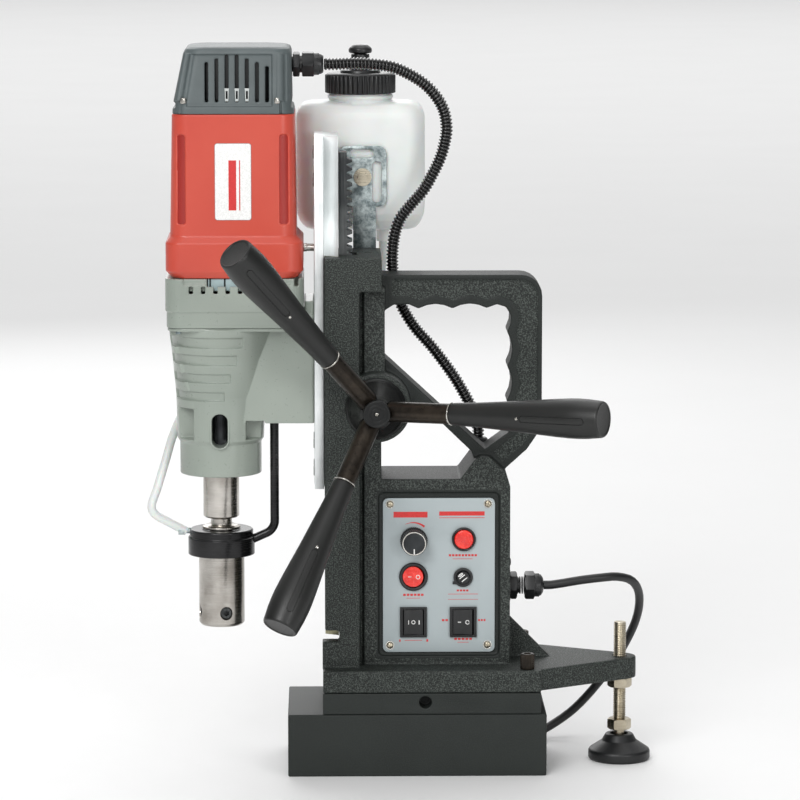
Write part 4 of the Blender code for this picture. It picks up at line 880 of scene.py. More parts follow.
def pan_screw(x, z, y, way=-1, radius=2.7):
    """Cross-recessed dome head on a face at y, facing -Y or +Y."""
    dome = turned(
        [(0, y - 0.5 * way), (radius, y - 0.5 * way), (radius, y + 0.35 * way),
         (radius * 0.72, y + 1.15 * way), (0, y + 1.6 * way)], (x, z), "Y", 0.35, 40,
    )
    turn = turn_about((x, 0, z), 24, "Y")
    deep = sorted((y + 0.55 * way, y + 2 * way))
    arms = [block((x - a, x + a), deep, (z - b, z + b))
            for a, b in ((radius * 0.6, 0.34), (0.34, radius * 0.6))]
    return cut(dome, *(moved(arm, turn) for arm in arms))


# ---------------------------------------------------------------- control panel


def make_panel():
    spots = [(-21.3, 214.4), (56.5, 214.5), (-21.3, 100.6), (56.2, 100.8)]
    piece("panel_screws", gathered(*(pan_screw(x, z, PANEL_FRONT) for x, z in spots)), "frame", "nickel")
    section = [(2.9, PANEL_FRONT), (3.5, PANEL_FRONT - 0.05), (3.5, PANEL_FRONT - 0.35),
               (2.9, PANEL_FRONT - 0.3)]
    washers = [turned(section, spot, "Y", 0.1, 40) for spot in spots]
    piece("panel_screw_washers", gathered(*washers), "frame", "bright_steel")


def ink(x, z, wide, tall, y=PANEL_FRONT):
    return block((x - wide / 2, x + wide / 2), (y - 0.07, y + 0.03), (z - tall / 2, z + tall / 2))


def dashes(x, z, wide, tall, count):
    """A row of small plain blocks where the real panel has a word."""
    pitch = wide / count
    return [ink(x - wide / 2 + pitch * (i + 0.5), z, pitch * 0.72, tall) for i in range(count)]


def make_marks():
    """Plain printed bars where the real panel has words, and the speed scale's tapered arc."""
    bars = [
        ink(-5.0, 206.0, 27, 4.6), ink(35.8, 206.8, 36, 3.4), ink(35.8, 203.4, 36, 0.5),
        ink(36.4, 170.3, 16, 0.4), ink(-2.7, 138.7, 11, 0.4), ink(36.8, 141.9, 24, 0.4),
        ink(36.8, 137.6, 24, 0.3), ink(-2.7, 104.6, 14, 0.45),
        ink(36.9, 102.9, 9, 0.4), ink(-13.4, 104.4, 1.1, 2.0), ink(8.4, 104.4, 1.5, 2.0),
        *dashes(36.6, 173.2, 23, 1.7, 9), *dashes(-2.7, 141.4, 17, 1.8, 6),
        *dashes(36.4, 144.8, 10, 1.5, 4), *dashes(36.9, 105.6, 15, 1.7, 5),
        *dashes(22.4, 120.8, 5.6, 1.6, 2), *dashes(51.8, 120.8, 6.4, 1.6, 3),
    ]
    x, z = KNOB
    outer, inner = arc(x, z, 14.6, 118, 52, 16), []
    for i in range(17):
        a, r = math.radians(118 - 66 * i / 16), 14.4 - 1.5 * i / 16
        inner.append((x + r * math.cos(a), z + r * math.sin(a)))
    scale = prism(outer + inner[::-1], PANEL_FRONT - 0.07, PANEL_FRONT + 0.03)
    piece("panel_marks", gathered(*bars, scale), "frame", "red_ink")


def make_knob():
    x, z = KNOB
    skirt = fluted(10.95, 10.55, 44, FACE - 3.7, FACE - 0.7, (x, z), "Y", 0.15)
    grip = fluted(10.0, 9.55, 36, FACE - 14.8, FACE - 3.5, (x, z), "Y", 0.15)
    shaft = rod(3.0, FACE - 2, -20, (x, z), "Y")
    front = turned(
        [(0, FACE - 14.5), (9.7, FACE - 14.5), (9.7, FACE - 15.5), (9.2, FACE - 15.9), (8.3, FACE - 15.9),
         (8.3, FACE - 15.5), (0, FACE - 15.5)], (x, z), "Y", 0.15,
    )
    instead("speed_knob", joined(skirt, grip, shaft, front), "black_plastic")
    rim = turned([(9.35, FACE - 15.75), (9.35, FACE - 16.0), (8.55, FACE - 16.0), (8.55, FACE - 15.75)],
                 (x, z), "Y", 0.08)
    piece("knob_rim", rim, "knob", "bright_steel")
    rings = [(0, FACE - 15.4)]
    for i in range(12):
        r = 0.5 + i * 0.65
        rings += [(r, FACE - 15.62), (r + 0.3, FACE - 15.56)]
    rings += [(8.3, FACE - 15.6), (8.3, FACE - 15.3)]
    piece("knob_disc", turned(rings, (x, z), "Y", 0.0), "knob", "spun")
    pointer = block((x - 0.45, x + 0.45), (FACE - 15.9, FACE - 15.5), (z - 9.0, z - 4.4), 0.12, 2)
    piece("knob_pointer", pointer, "knob", "white_ink")


def make_lamp():
    x, z = LAMP
    bezel = turned(
        [(0, -14), (7.0, -14), (7.0, FACE), (9.5, FACE), (9.5, FACE - 2.0), (8.6, FACE - 2.6),
         (7.9, FACE - 2.2),
         (7.9, FACE - 0.8), (0, FACE - 0.8)], (x, z), "Y", 0.3,
    )
    instead("lamp_bezel", bezel, "black_plastic")
    lens = turned(
        [(0, FACE - 1.1), (7.6, FACE - 1.1), (7.6, FACE - 3.0), (6.9, FACE - 3.8), (0, FACE - 4.4)],
        (x, z), "Y", 0.5,
    )
    instead("lamp_lens", lens, "red_plastic")


def make_fuse():
    x, z = FUSE
    ring = turned(
        [(0, -5), (6.0, -5), (6.0, FACE), (7.7, FACE), (7.7, FACE - 1.6), (5.6, FACE - 1.9),
         (5.6, FACE + 4),
         (0, FACE + 4)], (x, z), "Y", 0.3,
    )
    tab = block((x - 8.4, x - 5.6), (FACE - 1.4, FACE), (z - 5.6, z - 3.2), 0.4)
    instead("fuse_holder", joined(ring, tab), "black_plastic")
    cap = fluted(5.2, 4.95, 22, FACE - 4.3, FACE + 3.6, (x, z), "Y", 0.12)
    face = turned([(0, FACE - 3.5), (4.9, FACE - 3.5), (4.9, FACE - 4.4), (4.3, FACE - 4.8),
                   (0, FACE - 4.8)],
                  (x, z), "Y", 0.2)
    turn = turn_about((x, 0, z), -38, "Y")
    slot = moved(block((x - 4.0, x + 4.0), (FACE - 6, FACE - 4.0), (z - 0.7, z + 0.7)), turn)
    instead("fuse_cap", cut(joined(cap, face), slot), "black_plastic")
    marks = [moved(block((x - w, x + w), (FACE - 4.95, FACE - 4.75), (z + h - 0.35, z + h + 0.35)), turn)
             for w, h in ((2.7, 1.5), (2.7, -1.5), (1.6, 2.8))]
    arrow = prism([*arc(x, z, 4.3, 95, 165, 8), *arc(x, z, 3.6, 165, 95, 8)], FACE - 4.9, FACE - 4.7)
    piece("fuse_cap_marks", gathered(*marks, arrow), "fuse", "white_ink")


def rocker_shape(x, z, half, tall, low=-26.0):
    """A rocker's crowned V front, its ends rounded."""
    section = [(x + u, PIVOT_Y + v) for u, v in (
        (-half, -4.2), (-half * 0.62, -3.62), (0, -2.9), (half * 0.62, -3.62), (half, -4.2),
        (half - 0.5, 1.0), (3.6, 4.6), (-3.6, 4.6), (-half + 0.5, 1.0))]
    return prism(section, z - tall, z + tall, "Z", 0.35, 2)


def sign_bar(x, z, tall, y, wide=0.55, turn=None):
    bar = block((x - wide / 2, x + wide / 2), (y - 0.12, y + 0.3), (z - tall / 2, z + tall / 2), 0.08, 1)
    return moved(bar, turn) if turn else bar


def sign_ring(x, z, radius, y, turn=None):
    bar = turned([(radius, y + 0.3), (radius, y - 0.12), (radius - 0.5, y - 0.12), (radius - 0.5, y + 0.3)],
                 (x, z), "Y", 0.08, 40)
    return moved(bar, turn) if turn else bar


def switch_frame(node, x, z):
    frame_bm = rounded(from_cad(node), 0.35, 2)
    lip = cut(block((x - 9.6, x + 9.6), (FACE - 2.5, FACE - 1.5), (z - 11.2, z + 11.2), 0.3, 2),
              block((x - 8.6, x + 8.6), (FACE - 4, FACE), (z - 10.55, z + 10.55)))
    instead(node, gathered(frame_bm, lip), "black_plastic")


def make_switches():
    x, z = LEFT_SWITCH
    switch_frame("direction_switch_frame", x, z)
    instead("direction_rocker", rocker_shape(x, z, 7.6, 10.0), "black_plastic")
    y = PIVOT_Y - 3.25
    marks = gathered(
        sign_bar(x - 3.8, z, 3.4, y - 0.25), sign_ring(x, z, 1.6, y),
        sign_bar(x + 4.6, z, 3.4, y - 0.3, 0.9),
    )
    piece("direction_rocker_marks", marks, "direction_button", "white_ink")

    x, z = RIGHT_SWITCH
    turn = turn_about((x, PIVOT_Y, 0), PRESSED, "Z")
    switch_frame("motor_switch_frame", x, z)
    instead("motor_rocker", moved(rocker_shape(x, z, 7.6, 10.0), turn), "black_plastic")
    y = PIVOT_Y - 3.5
    marks = gathered(sign_bar(x - 2.6, z, 0.6, y, 2.6, turn), sign_ring(x + 3.8, z, 1.75, y - 0.1, turn))
    piece("motor_rocker_marks", marks, "motor_button", "white_ink")

    x, z = ROUND_SWITCH
    ring = turned(
        [(0, -10), (9.3, -10), (9.3, FACE), (11.4, FACE), (11.4, FACE - 1.4), (10.6, FACE - 2.3),
         (8.9, FACE - 2.0), (8.6, -16), (0, -16)], (x, z), "Y", 0.3,
    )
    instead("magnet_switch_frame", ring, "black_plastic")
    turn = turn_about((x, PIVOT_Y, 0), PRESSED, "Z")
    button = combined(rocker_shape(x, z, 8.4, 9.0), rod(8.1, -40, -15, (x, z), "Y", 0.0, 96), "INTERSECT")
    instead("magnet_rocker", moved(rounded(button, 0.25, 2), turn), "red_plastic")
    marks = gathered(sign_bar(x - 2.6, z, 0.6, y, 2.6, turn), sign_ring(x + 4.0, z, 1.75, y - 0.15, turn))
    piece("magnet_rocker_marks", marks, "magnet_button", "white_ink")


# ---------------------------------------------------------------- glands


def gland_dome(centre, low, high, radius, tip, axis, teeth=18):
    """The clamping nut's ribbed dome."""
    way = 1 if high > low else -1
    dome = turned(
        [(0, low), (radius, low), (radius * 0.99, low + (high - low) * 0.35),
         (radius * 0.9, low + (high - low) * 0.75),
         (tip + 1.0, high), (tip, high), (tip - 0.3, high - way * 1.2), (0, high - way * 1.2)],
        centre, axis, 0.5, 72,
    )
    ribs = fluted(radius * 1.0, radius * 0.86, teeth, *sorted((low, low + (high - low) * 0.55)),
                  centre, axis, 0.2)
    return joined(dome, ribs)


def make_glands():
    centre = (GLAND_Y, GLAND_Z)
    seat = 74.5
    body = turned(
        [(0, 62), (8, 62), (8, seat), (12.4, seat), (12.4, seat + 1.4), (9.8, seat + 1.6),
         (7.0, seat + 2.2),
         (7.0, 88), (0, 88)], centre, "X", 0.3, 64,
    )
    grooves = [turned([(6.2, w), (7.4, w), (7.4, w + 0.9), (6.2, w + 0.9)], centre, "X", 0.1, 64)
               for w in (82.2, 84.2, 86.0)]
    lock = hex_nut(19.5, seat + 1.2, seat + 6.8, centre, "X", 1.0, math.radians(12))
    nut = hex_nut(20.0, 87.4, 95.4, centre, "X", 1.0, math.radians(8))
    dome = gland_dome(centre, 95.0, 102.4, 9.4, 4.6, "X")
    instead("mains_gland", joined(cut(body, *grooves), lock, nut, dome), "black_plastic")

    centre = (0.0, 561.1)
    body = turned(
        [(0, -104), (6, -104), (6, -97.2), (8.5, -97.2), (8.5, -92.5), (6.7, -92.3), (6.7, -89), (0, -89)],
        centre, "X", 0.25, 64,
    )
    lock = hex_nut(17.8, -97.2, -91.8, centre, "X", 0.8, math.radians(10))
    nut = hex_nut(18.4, -90.0, -80.5, centre, "X", 0.9, math.radians(4))
    dome = gland_dome(centre, -81.0, -73.1, 8.6, 5.5, "X")
    instead("motor_gland", joined(body, lock, nut, dome), "black_plastic")

    centre = (50.6, 30.0)
    body = turned([(0, 222), (6, 222), (6, 252.9), (8.2, 252.9), (8.2, 257.5), (6.8, 259.4), (0, 259.4)],
                  centre, "Z", 0.5, 64)
    instead("box_gland", joined(body, fluted(8.4, 7.7, 16, 253.2, 257.2, centre, "Z", 0.2)),
            "black_plastic")


# ---------------------------------------------------------------- slide and feed


def make_slide():
    strips = gathered(
        block((-81.05, -80.7), (-26.5, -20.0), (231, 502), 0.12, 1),
        block((-81.05, -80.7), (20.0, 26.5), (231, 502), 0.12, 1),
    )
    piece("slide_face_strips", strips, "carriage", "anodised")
    spots = [(y, z) for y in (-18.0, 18.0) for z in (240.0, 262.0, 470.0, 492.0)]
    heads = []
    for y, z in spots:
        head = turned([(0, -80.0), (4.2, -80.0), (4.2, -81.2), (3.6, -81.7), (0, -81.7)],
                      (y, z), "X", 0.2, 40)
        heads.append(cut(head, prism(hex_outline(3.6, (y, z)), -83, -81.0, "X")))
    piece("slide_screws", gathered(*heads), "carriage", "black_steel")


def lever_matrix(angle_deg):
    a, level = math.radians(angle_deg), math.cos(LEVER_TILT)
    outward = Vector((level * math.cos(a), -math.sin(LEVER_TILT), level * math.sin(a)))
    turn = Vector((0, 0, 1)).rotation_difference(outward).to_matrix().to_4x4()
    return Matrix.Translation((HUB_X, APEX_Y, HUB_Z)) @ turn


def make_hub():
    centre = (HUB_X, HUB_Z)
    profile = [
        (0, -44.3), (24.2, -44.3), (24.2, -48.6), (23.0, -50.0), (22.4, -50.4), (13.4, -67.4),
        (12.2, -68.4),
        (10.7, -68.5), (10.7, -78.4), (10.2, -79.0), (8.9, -79.0), (8.7, -78.8), (7.4, -78.8), (7.2, -79.0),
        (5.8, -79.0), (5.6, -78.8), (4.4, -78.8), (4.2, -79.0), (1.7, -79.0), (1.3, -77.0), (0, -76.2),
    ]
    cone = turned(profile, centre, "Y", 0.25, 128)
    for angle in LEVER_ANGLES:
        cone = cut(cone, moved(rod(8.25, 11.4, 60), lever_matrix(angle)))
    instead("feed_hub", cone, "hub_steel")
    dimple = turned([(0, -76.9), (0.9, -77.4), (1.2, -78.9), (0.9, -79.0), (0.5, -78.0), (0, -77.9)],
                    centre, "Y", 0.0, 48)
    piece("hub_centre", dimple, "feed", "bright_steel")


def make_levers():
    """Turned rods with a moulded grip; a narrow stadium outline is sunk along the grip's front."""
    rod_profile = [
        (0, 7.0), (4, 7.0), (4, 11.8), (7.2, 11.8), (8, 12.8), (8, 64.4), (8.5, 64.8), (8.5, 66.1),
        (5, 66.1),
        (5, 125.7), (0, 125.7),
    ]
    grip_profile = [
        (0, 66.4), (8.6, 66.4), (8.9, 70), (9.6, 87), (10.9, 106), (12.2, 125), (13.7, 143),
        (14.8, 157), (15.4, 167), (15.5, 174), (15.2, 182), (14.5, 189), (14.1, 193.0),
        (13.3, 194.5), (11.9, 194.3), (11.6, 193.8), (0, 193.8),
    ]
    dots = []
    for number, angle in enumerate(LEVER_ANGLES, 1):
        matrix = lever_matrix(angle)
        instead(f"lever_rod_{number}", moved(turned(rod_profile, soft=0.4, segments=72), matrix),
                "black_steel")
        ring = turned([(8.4, 64.7), (8.9, 65.0), (8.9, 65.7), (8.4, 66.0)], soft=0.1)
        piece(f"lever_ring_{number}", moved(ring, matrix), "feed", "bright_steel")
        front = matrix.to_3x3().inverted() @ Vector((0, -1, 0))
        spin = Matrix.Rotation(math.atan2(front.y, front.x), 4, "Z")
        grip = turned(grip_profile, soft=0.6, segments=96)
        groove = moved(stadium_groove(129, 184, 2.5, 0.55), spin)
        instead(f"lever_grip_{number}", moved(cut(grip, groove), matrix), "grip", 50)
        dot = turned([(0, 11.5), (1.1, 11.5), (1.1, 12.75), (0, 12.95)], soft=0.2, segments=24)
        outward = Matrix.Translation((0, 0, 126.5)) @ Matrix.Rotation(math.pi / 2, 4, "Y")
        dots.append(moved(dot, matrix @ spin @ outward))
    piece("grip_dots", gathered(*dots), "feed", "bright_steel")


def stadium_groove(low, high, half, wide):
    """A thin closed groove cutter shaped as a stadium, for a surface 12 to 15 mm from the axis."""
    def outline(offset):
        r = half + offset
        return [*arc(0, high - half, r, 0, 180, 10), *arc(0, low + half, r, 180, 360, 10)]
    def loft_up(points, near, far):
        return skin([[(radius, v, w) for v, w in points] for radius in (near, far)])
    plate = loft_up(outline(wide / 2), 5.0, 22.0)
    core = loft_up(outline(-wide / 2), 4.0, 23.0)
    shell = cut(plate, core)
    grip_core = turned([(0, 60), (9.0, 86.5), (11.6, 124.6), (14.25, 156.6), (14.95, 174), (13.9, 189),
                        (13.0, 200), (0, 200)],
                       soft=0.0, segments=64)
    return cut(shell, grip_core)


# ---------------------------------------------------------------- motor unit


def blend_loop(left, right, half_y, radius, z, share=0.0, circle=(SPINDLE_X, 0.0, 34.4), steps=20):
    """A loop part way from a rounded rectangle (share 0) to a circle (share 1)."""
    square = round_rect(left, right, -half_y, half_y, radius, steps)
    loop = []
    for i, (x, y) in enumerate(square):
        a = -math.pi / 2 + 2 * math.pi * (i + 0.5) / len(square)
        cx, cy = circle[0] + circle[2] * math.cos(a), circle[1] + circle[2] * math.sin(a)
        loop.append((x + (cx - x) * share, y + (cy - y) * share, z))
    return loop


def nose_loft(inset=0.0):
    """The round front of the nose, from the barrel up to the seam."""
    barrel, neck = (SPINDLE_X, 0.0, 32.4 - inset), (SPINDLE_X, 0.0, 34.4 - inset)
    rows = [
        (-190, -122, 34, 20, 236.6, 1.0, barrel), (-190, -122, 34, 20, 262.0, 1.0, barrel),
        (-190, -122, 34, 20, 265.0, 1.0, neck), (-196, -111, 50, 40, 300.0, 0.86, neck),
        (-196, -111, 50, 40, 330.0, 0.45, neck), (-196, -110, 49.5, 40, 352.0, 0.02, neck),
        (-196.2, -109.8, 49.6, 40, 356.0, 0.0, neck),
    ]
    return skin([
        blend_loop(left + inset, right - inset, half - inset, radius, z, share, circle)
        for left, right, half, radius, z, share, circle in rows
    ])


def nose_rear():
    """The wider gear room behind the bracket's front face."""
    rows = [
        (-189, -124, 33, 20, 262.5, 1.0, 31.4), (-189, -124, 33, 20, 266.5, 1.0, 33.4),
        (-195, -94, 50, 24, 300.5, 0.86, 34.4), (-195, -91, 50, 24, 330.5, 0.45, 34.4),
        (-195, -90.5, 49, 24, 352.5, 0.02, 34.4), (-195, -90.5, 49, 24, 356.3, 0.0, 34.4),
    ]
    room = skin([
        blend_loop(left, right, half, radius, z, share, (SPINDLE_X, 0.0, r))
        for left, right, half, radius, z, share, r in rows
    ])
    return cut(room, block((-220, -60), (-70, -29.4), (250, 370)))


def make_gearbox_nose():
    bracket = prism(round_rect(-140, -81.1, -30, 30, 2.0, 4), 279.6, 356.5, "Z")
    flange = prism(round_rect(-88.6, -81.1, -30, 30, 2, 4), 340, 376.6, "Z")
    ridge = prism(round_rect(-89.4, -81.1, -30.8, 30.8, 2, 4), 362.5, 366.0, "Z", 0.8)
    plate = prism(round_rect(-196.0, -91.0, -48.2, 48.2, 14, 16), 354.6, SEAM_LOW - GAP, "Z")
    nose = joined(nose_loft(), nose_rear(), bracket, flange, ridge, plate)
    window = round_rect(SPINDLE_X - 6.3, SPINDLE_X + 6.3, 260.5, 287.7, 6.2, 10)
    raised = round_rect(SPINDLE_X - 7.6, SPINDLE_X + 7.6, 259.2, 289.0, 7.5, 10)
    notch_left = block((-200, -176), (-60, -13), (266, 291))
    notch_right = block((-135.2, -120), (-60, -13), (266, 281.5))
    hollow = turned([(0, 230), (14.8, 230), (14.8, 328), (24.8, 328), (24.8, 362), (0, 362)],
                    (SPINDLE_X, 0), "Z", 0)
    nose = cut(nose, prism(window, -60, 60), notch_left, notch_right, hollow)
    bands = ((341.0, 349.4, -136.5), (327.1, 335.0, -141.8), (312.6, 319.8, -146.6), (298.0, 305.2, -151.6))
    for low, high, right in bands:
        for sign in (-1, 1):
            band = block((-205, right), sorted((sign * 8.0, sign * 60.0)), (low, high))
            nose = cut(nose, cut(band, nose_loft(1.5)))
    for side in (-1, 1):
        rim = prism(raised, *sorted((side * 33.4, side * 34.9)))
        nose = joined(nose, cut(rim, prism(window, -60, 60)))
    instead("gearbox_nose", as_cast(nose, 0.55, 1, 0.35), "gearbox_paint", 0)
    piece("slot_sleeve",
          turned([(14.3, 236), (14.6, 236), (14.6, 300), (14.3, 300)], (SPINDLE_X, 0), "Z", 0.0),
          "spindle_set", "spun")
    screws = [rod(2.4, 352.8, 355.0, spot, "Z", 0.5, 40)
              for spot in ((-187.0, -44.6), (-187.0, 44.6), (-100.5, -44.6), (-100.5, 44.6))]
    piece("gearbox_screws", gathered(*screws), "carriage", "zinc")
    bolt = turned([(0, -95), (3.0, -95), (3.0, -89.4), (3.4, -89.2), (3.4, -86.6), (3.0, -86.4),
                   (3.0, -80.9), (0, -80.9)],
                  (0.0, 416.2), "X", 0.2, 40)
    piece("housing_pin", bolt, "carriage", "bright_steel")


def make_gearbox_band():
    """The box between nose and motor: corner posts, a low crease, an open top with a row of vents."""
    upper = prism(round_rect(-197.6, -89.0, -50, 50, 13, 20), 370.2, SEAM_MID - GAP, "Z")
    lower = prism(round_rect(-196.6, -90.0, -49.0, 49.0, 12.5, 20), SEAM_LOW, 371, "Z")
    room = prism(round_rect(-192.0, -94.6, -46.9, 46.9, 21, 12), SEAM_LOW - 2, 386, "Z")
    shaft_hole = rod(12, 380, 400, (MOTOR_X, 0))
    window = block((-164.5, -137.5), (-60, -40), (390.0, 400))
    step_left = block((-183, -164), (-60, -49.0), (391.6, 400))
    step_right = block((-137.6, -98), (-60, -49.0), (391.6, 400))
    vents = [block((x - 1.7, x + 1.7), (-60, -45), (384.6, 390.4))
             for x in (-177, -167.4, -157.8, -148.2, -138.6, -129.0, -119.4)]
    seams = [block((x - 0.5, x + 0.5), sorted((s * 40, s * 60)), (369, 400))
             for x in (-190.6, -95.9) for s in (-1, 1)]
    pockets = [block((-95.4, -93.0), sorted((s * 34, s * 60)), (390.4, 400)) for s in (-1, 1)]
    band = cut(joined(upper, lower), room, shaft_hole, window, step_left, step_right, *vents, *seams,
               *pockets)
    instead("gearbox_housing", as_cast(band, 0.6, 2, 0.3), "gearbox_paint", 0)
    fins = [block((low, high), (-45.6, -43.8), (386.6, 396.0), 0.4)
            for low, high in ((-163.8, -162.6), (-161.4, -151.2), (-150.0, -139.8), (-138.6, -112))]
    piece("gearbox_baffle", gathered(*fins), "carriage", "baffle")
    # A black sheet behind the vents and the window: painted shade inside the gearbox.
    back = block((-186, -112), (-43.0, -41.0), (386.4, 396.0), 0.4)
    piece("gearbox_painted_shade", back, "carriage", "black_plastic")


def housing_loft(inset=0.0):
    def loop(z, grow_left, grow_right, grow_y):
        left, right = -191.4 - grow_left + inset, -95.5 + grow_right - inset
        return blend_loop(left, right, 48 + grow_y - inset, 13 - inset, z)
    return skin([
        loop(SEAM_MID, 0.8, 1.6, 0), loop(402, 5.6, 6.2, 3), loop(424, 5.6, 6.2, 3),
        loop(429.5, 1.9, 1.0, 0),
        loop(SEAM_TOP - GAP, 0, 0, 0),
    ])


def make_motor_housing():
    shell = cut(housing_loft(), rod(41, SEAM_MID - 5, SEAM_TOP + 5, (MOTOR_X, 0), "Z", 0, 64))
    # The recesses get darker red inlays: painted shade in the recessed strips.
    shade_inlays = []
    for left, right in ((-187.6, -180.7), (-107.7, -100.4)):
        for y in ((-60, -10), (10, 60)):
            strip = prism(round_rect(left, right, 438.6, 509, 2.2, 6), *y)
            shade_inlays.append(cut(combined(strip.copy(), housing_loft(1.0), "INTERSECT"), housing_loft(2.2)))
            shell = cut(shell, cut(strip, housing_loft(1.4)))
    instead("motor_housing", as_cast(shell, 0.62, 2, 0.3), "red_paint", 0)
    piece("housing_strip_shade", gathered(*shade_inlays), "carriage", "red_painted_shade")
    card = prism(round_rect(-157.6, -129.8, 442.6, 501.9, 1.8, 6), -48.55, -47.95, "Y", 0.12, 1)
    piece("rating_label", card, "carriage", "white_ink")
    edge = cut(prism(round_rect(-157.9, -129.5, 442.3, 502.2, 2.0, 6), -48.35, -47.9),
               prism(round_rect(-157.4, -130.0, 442.8, 501.7, 1.7, 6), -49, -47))
    piece("rating_label_edge", edge, "carriage", "grey_ink")
    bars = [block((-147.2, -141.2), (-48.68, -48.5), (450.0, 489.0)),
            block((-138.9, -138.1), (-48.68, -48.5), (450.0, 489.0))]
    piece("rating_label_bars", gathered(*bars), "carriage", "red_ink")


def cap_rows(inset, low, high):
    rows = (
        (low, -191.0, -95.8, 47.6), (533.0, -190.3, -97.6, 47.2), (high - 5.0, -182.3, -98.2, 43.0),
        (high - 1.8, -180.6, -99.4, 41.8), (high - 0.5, -177.6, -102.4, 39.0), (high, -172.0, -108.0, 34.0),
    )
    return [blend_loop(a + inset, b - inset, half - inset, 13 - inset, z) for z, a, b, half in rows]


def make_motor_cap():
    """Vented end cap: sunk fronts between four posts, slots of stepped height, notched corners."""
    shell = skin(cap_rows(0, SEAM_TOP, CAP_TOP))
    sunk = skin(cap_rows(1.6, SEAM_TOP - 4, CAP_TOP - 0.2))
    front = [(-180.0, 530.5), (-112.9, 530.5), (-112.9, 570.8), (-173.8, 570.8)]
    for side in (-1, 1):
        face = prism(front, *sorted((side * 8, side * 60)))
        shell = cut(shell, cut(face, sunk.copy()))
    sunk.free()
    channels = ((-181.2, 47.4, -175.2, 42.8, 2.9), (-101.4, 45.6, -101.4, 41.2, 2.6))
    posts = ((-185.6, 44.0, -179.0, 39.4, 2.9), (-107.6, 44.2, -107.6, 39.8, 3.8))
    for side in (-1, 1):
        for x0, y0, x1, y1, radius in channels:
            shell = cut(shell, slanted_rod((x0, side * y0, 534.0), (x1, side * y1, 571.5), radius))
    for side in (-1, 1):
        for x0, y0, x1, y1, radius in posts:
            shell = joined(shell, slanted_rod((x0, side * y0, 534.7), (x1, side * y1, 571.5), radius))
    tops = (564.8, 567.6, 570.7, 570.7, 567.6, 564.8, 561.6)
    first_slot, pitch, half = -164.0, 7.85, 1.35
    middles = [first_slot + pitch * i for i in range(len(tops))]
    slots = [block((x - half, x + half), (-70, 70), (534, top)) for x, top in zip(middles, tops)]
    drains = [block((x - 0.8, x + 0.8), sorted((side * 45.0, side * 60)), (520, 535))
              for side in (-1, 1) for x in (-184.4, -106.4)]
    notches = [block(x, (-60, 60), (529.2, 533.6)) for x in ((-200, -188.4), (-98.4, -90))]
    hollow = skin(cap_rows(3.4, SEAM_TOP - 2, CAP_TOP - 3))
    solid = cut(shell, hollow)
    solid = cut(solid, *slots, *drains, *notches, rod(6.5, -120, -90, (0, 561.1), "X"))
    instead("motor_end_cap", as_cast(solid, 0.6, 2, 0.32), "cap_plastic", 0)
    screws = [rod(2.5, 533.0, 537.4, (x, side * 45.8), "Z", 0.6, 32)
              for side in (-1, 1) for x in (-182.0, -109.2)]
    piece("motor_cap_screws", gathered(*screws), "carriage", "bright_steel")
    guards = []
    for x in middles[2:5]:
        guards.append(cut(block((x - 2.0, x + 2.0), (-44.2, -42.6), (534.5, 544.6), 0.3),
                          block((x - 0.8, x + 0.8), (-46, -42), (536.4, 542.6))))
    piece("brush_guard", gathered(*guards), "carriage", "guard")
    # A black ring behind the slots: painted shade inside the cap.
    shade = prism(round_rect(-180, -104, -38.0, 38.0, 20, 10), 535, 571, "Z")
    shade = cut(shade, prism(round_rect(-179, -105, -37, 37, 19, 10), 530, 575, "Z"))
    piece("motor_cap_painted_shade", shade, "carriage", "black_plastic")


def slanted_rod(low, high, radius):
    start, end = Vector(low), Vector(high)
    turn = Vector((0, 0, 1)).rotation_difference(end - start).to_matrix().to_4x4()
    return moved(rod(radius, 0, (end - start).length, soft=0, segments=48),
                 Matrix.Translation(start) @ turn)


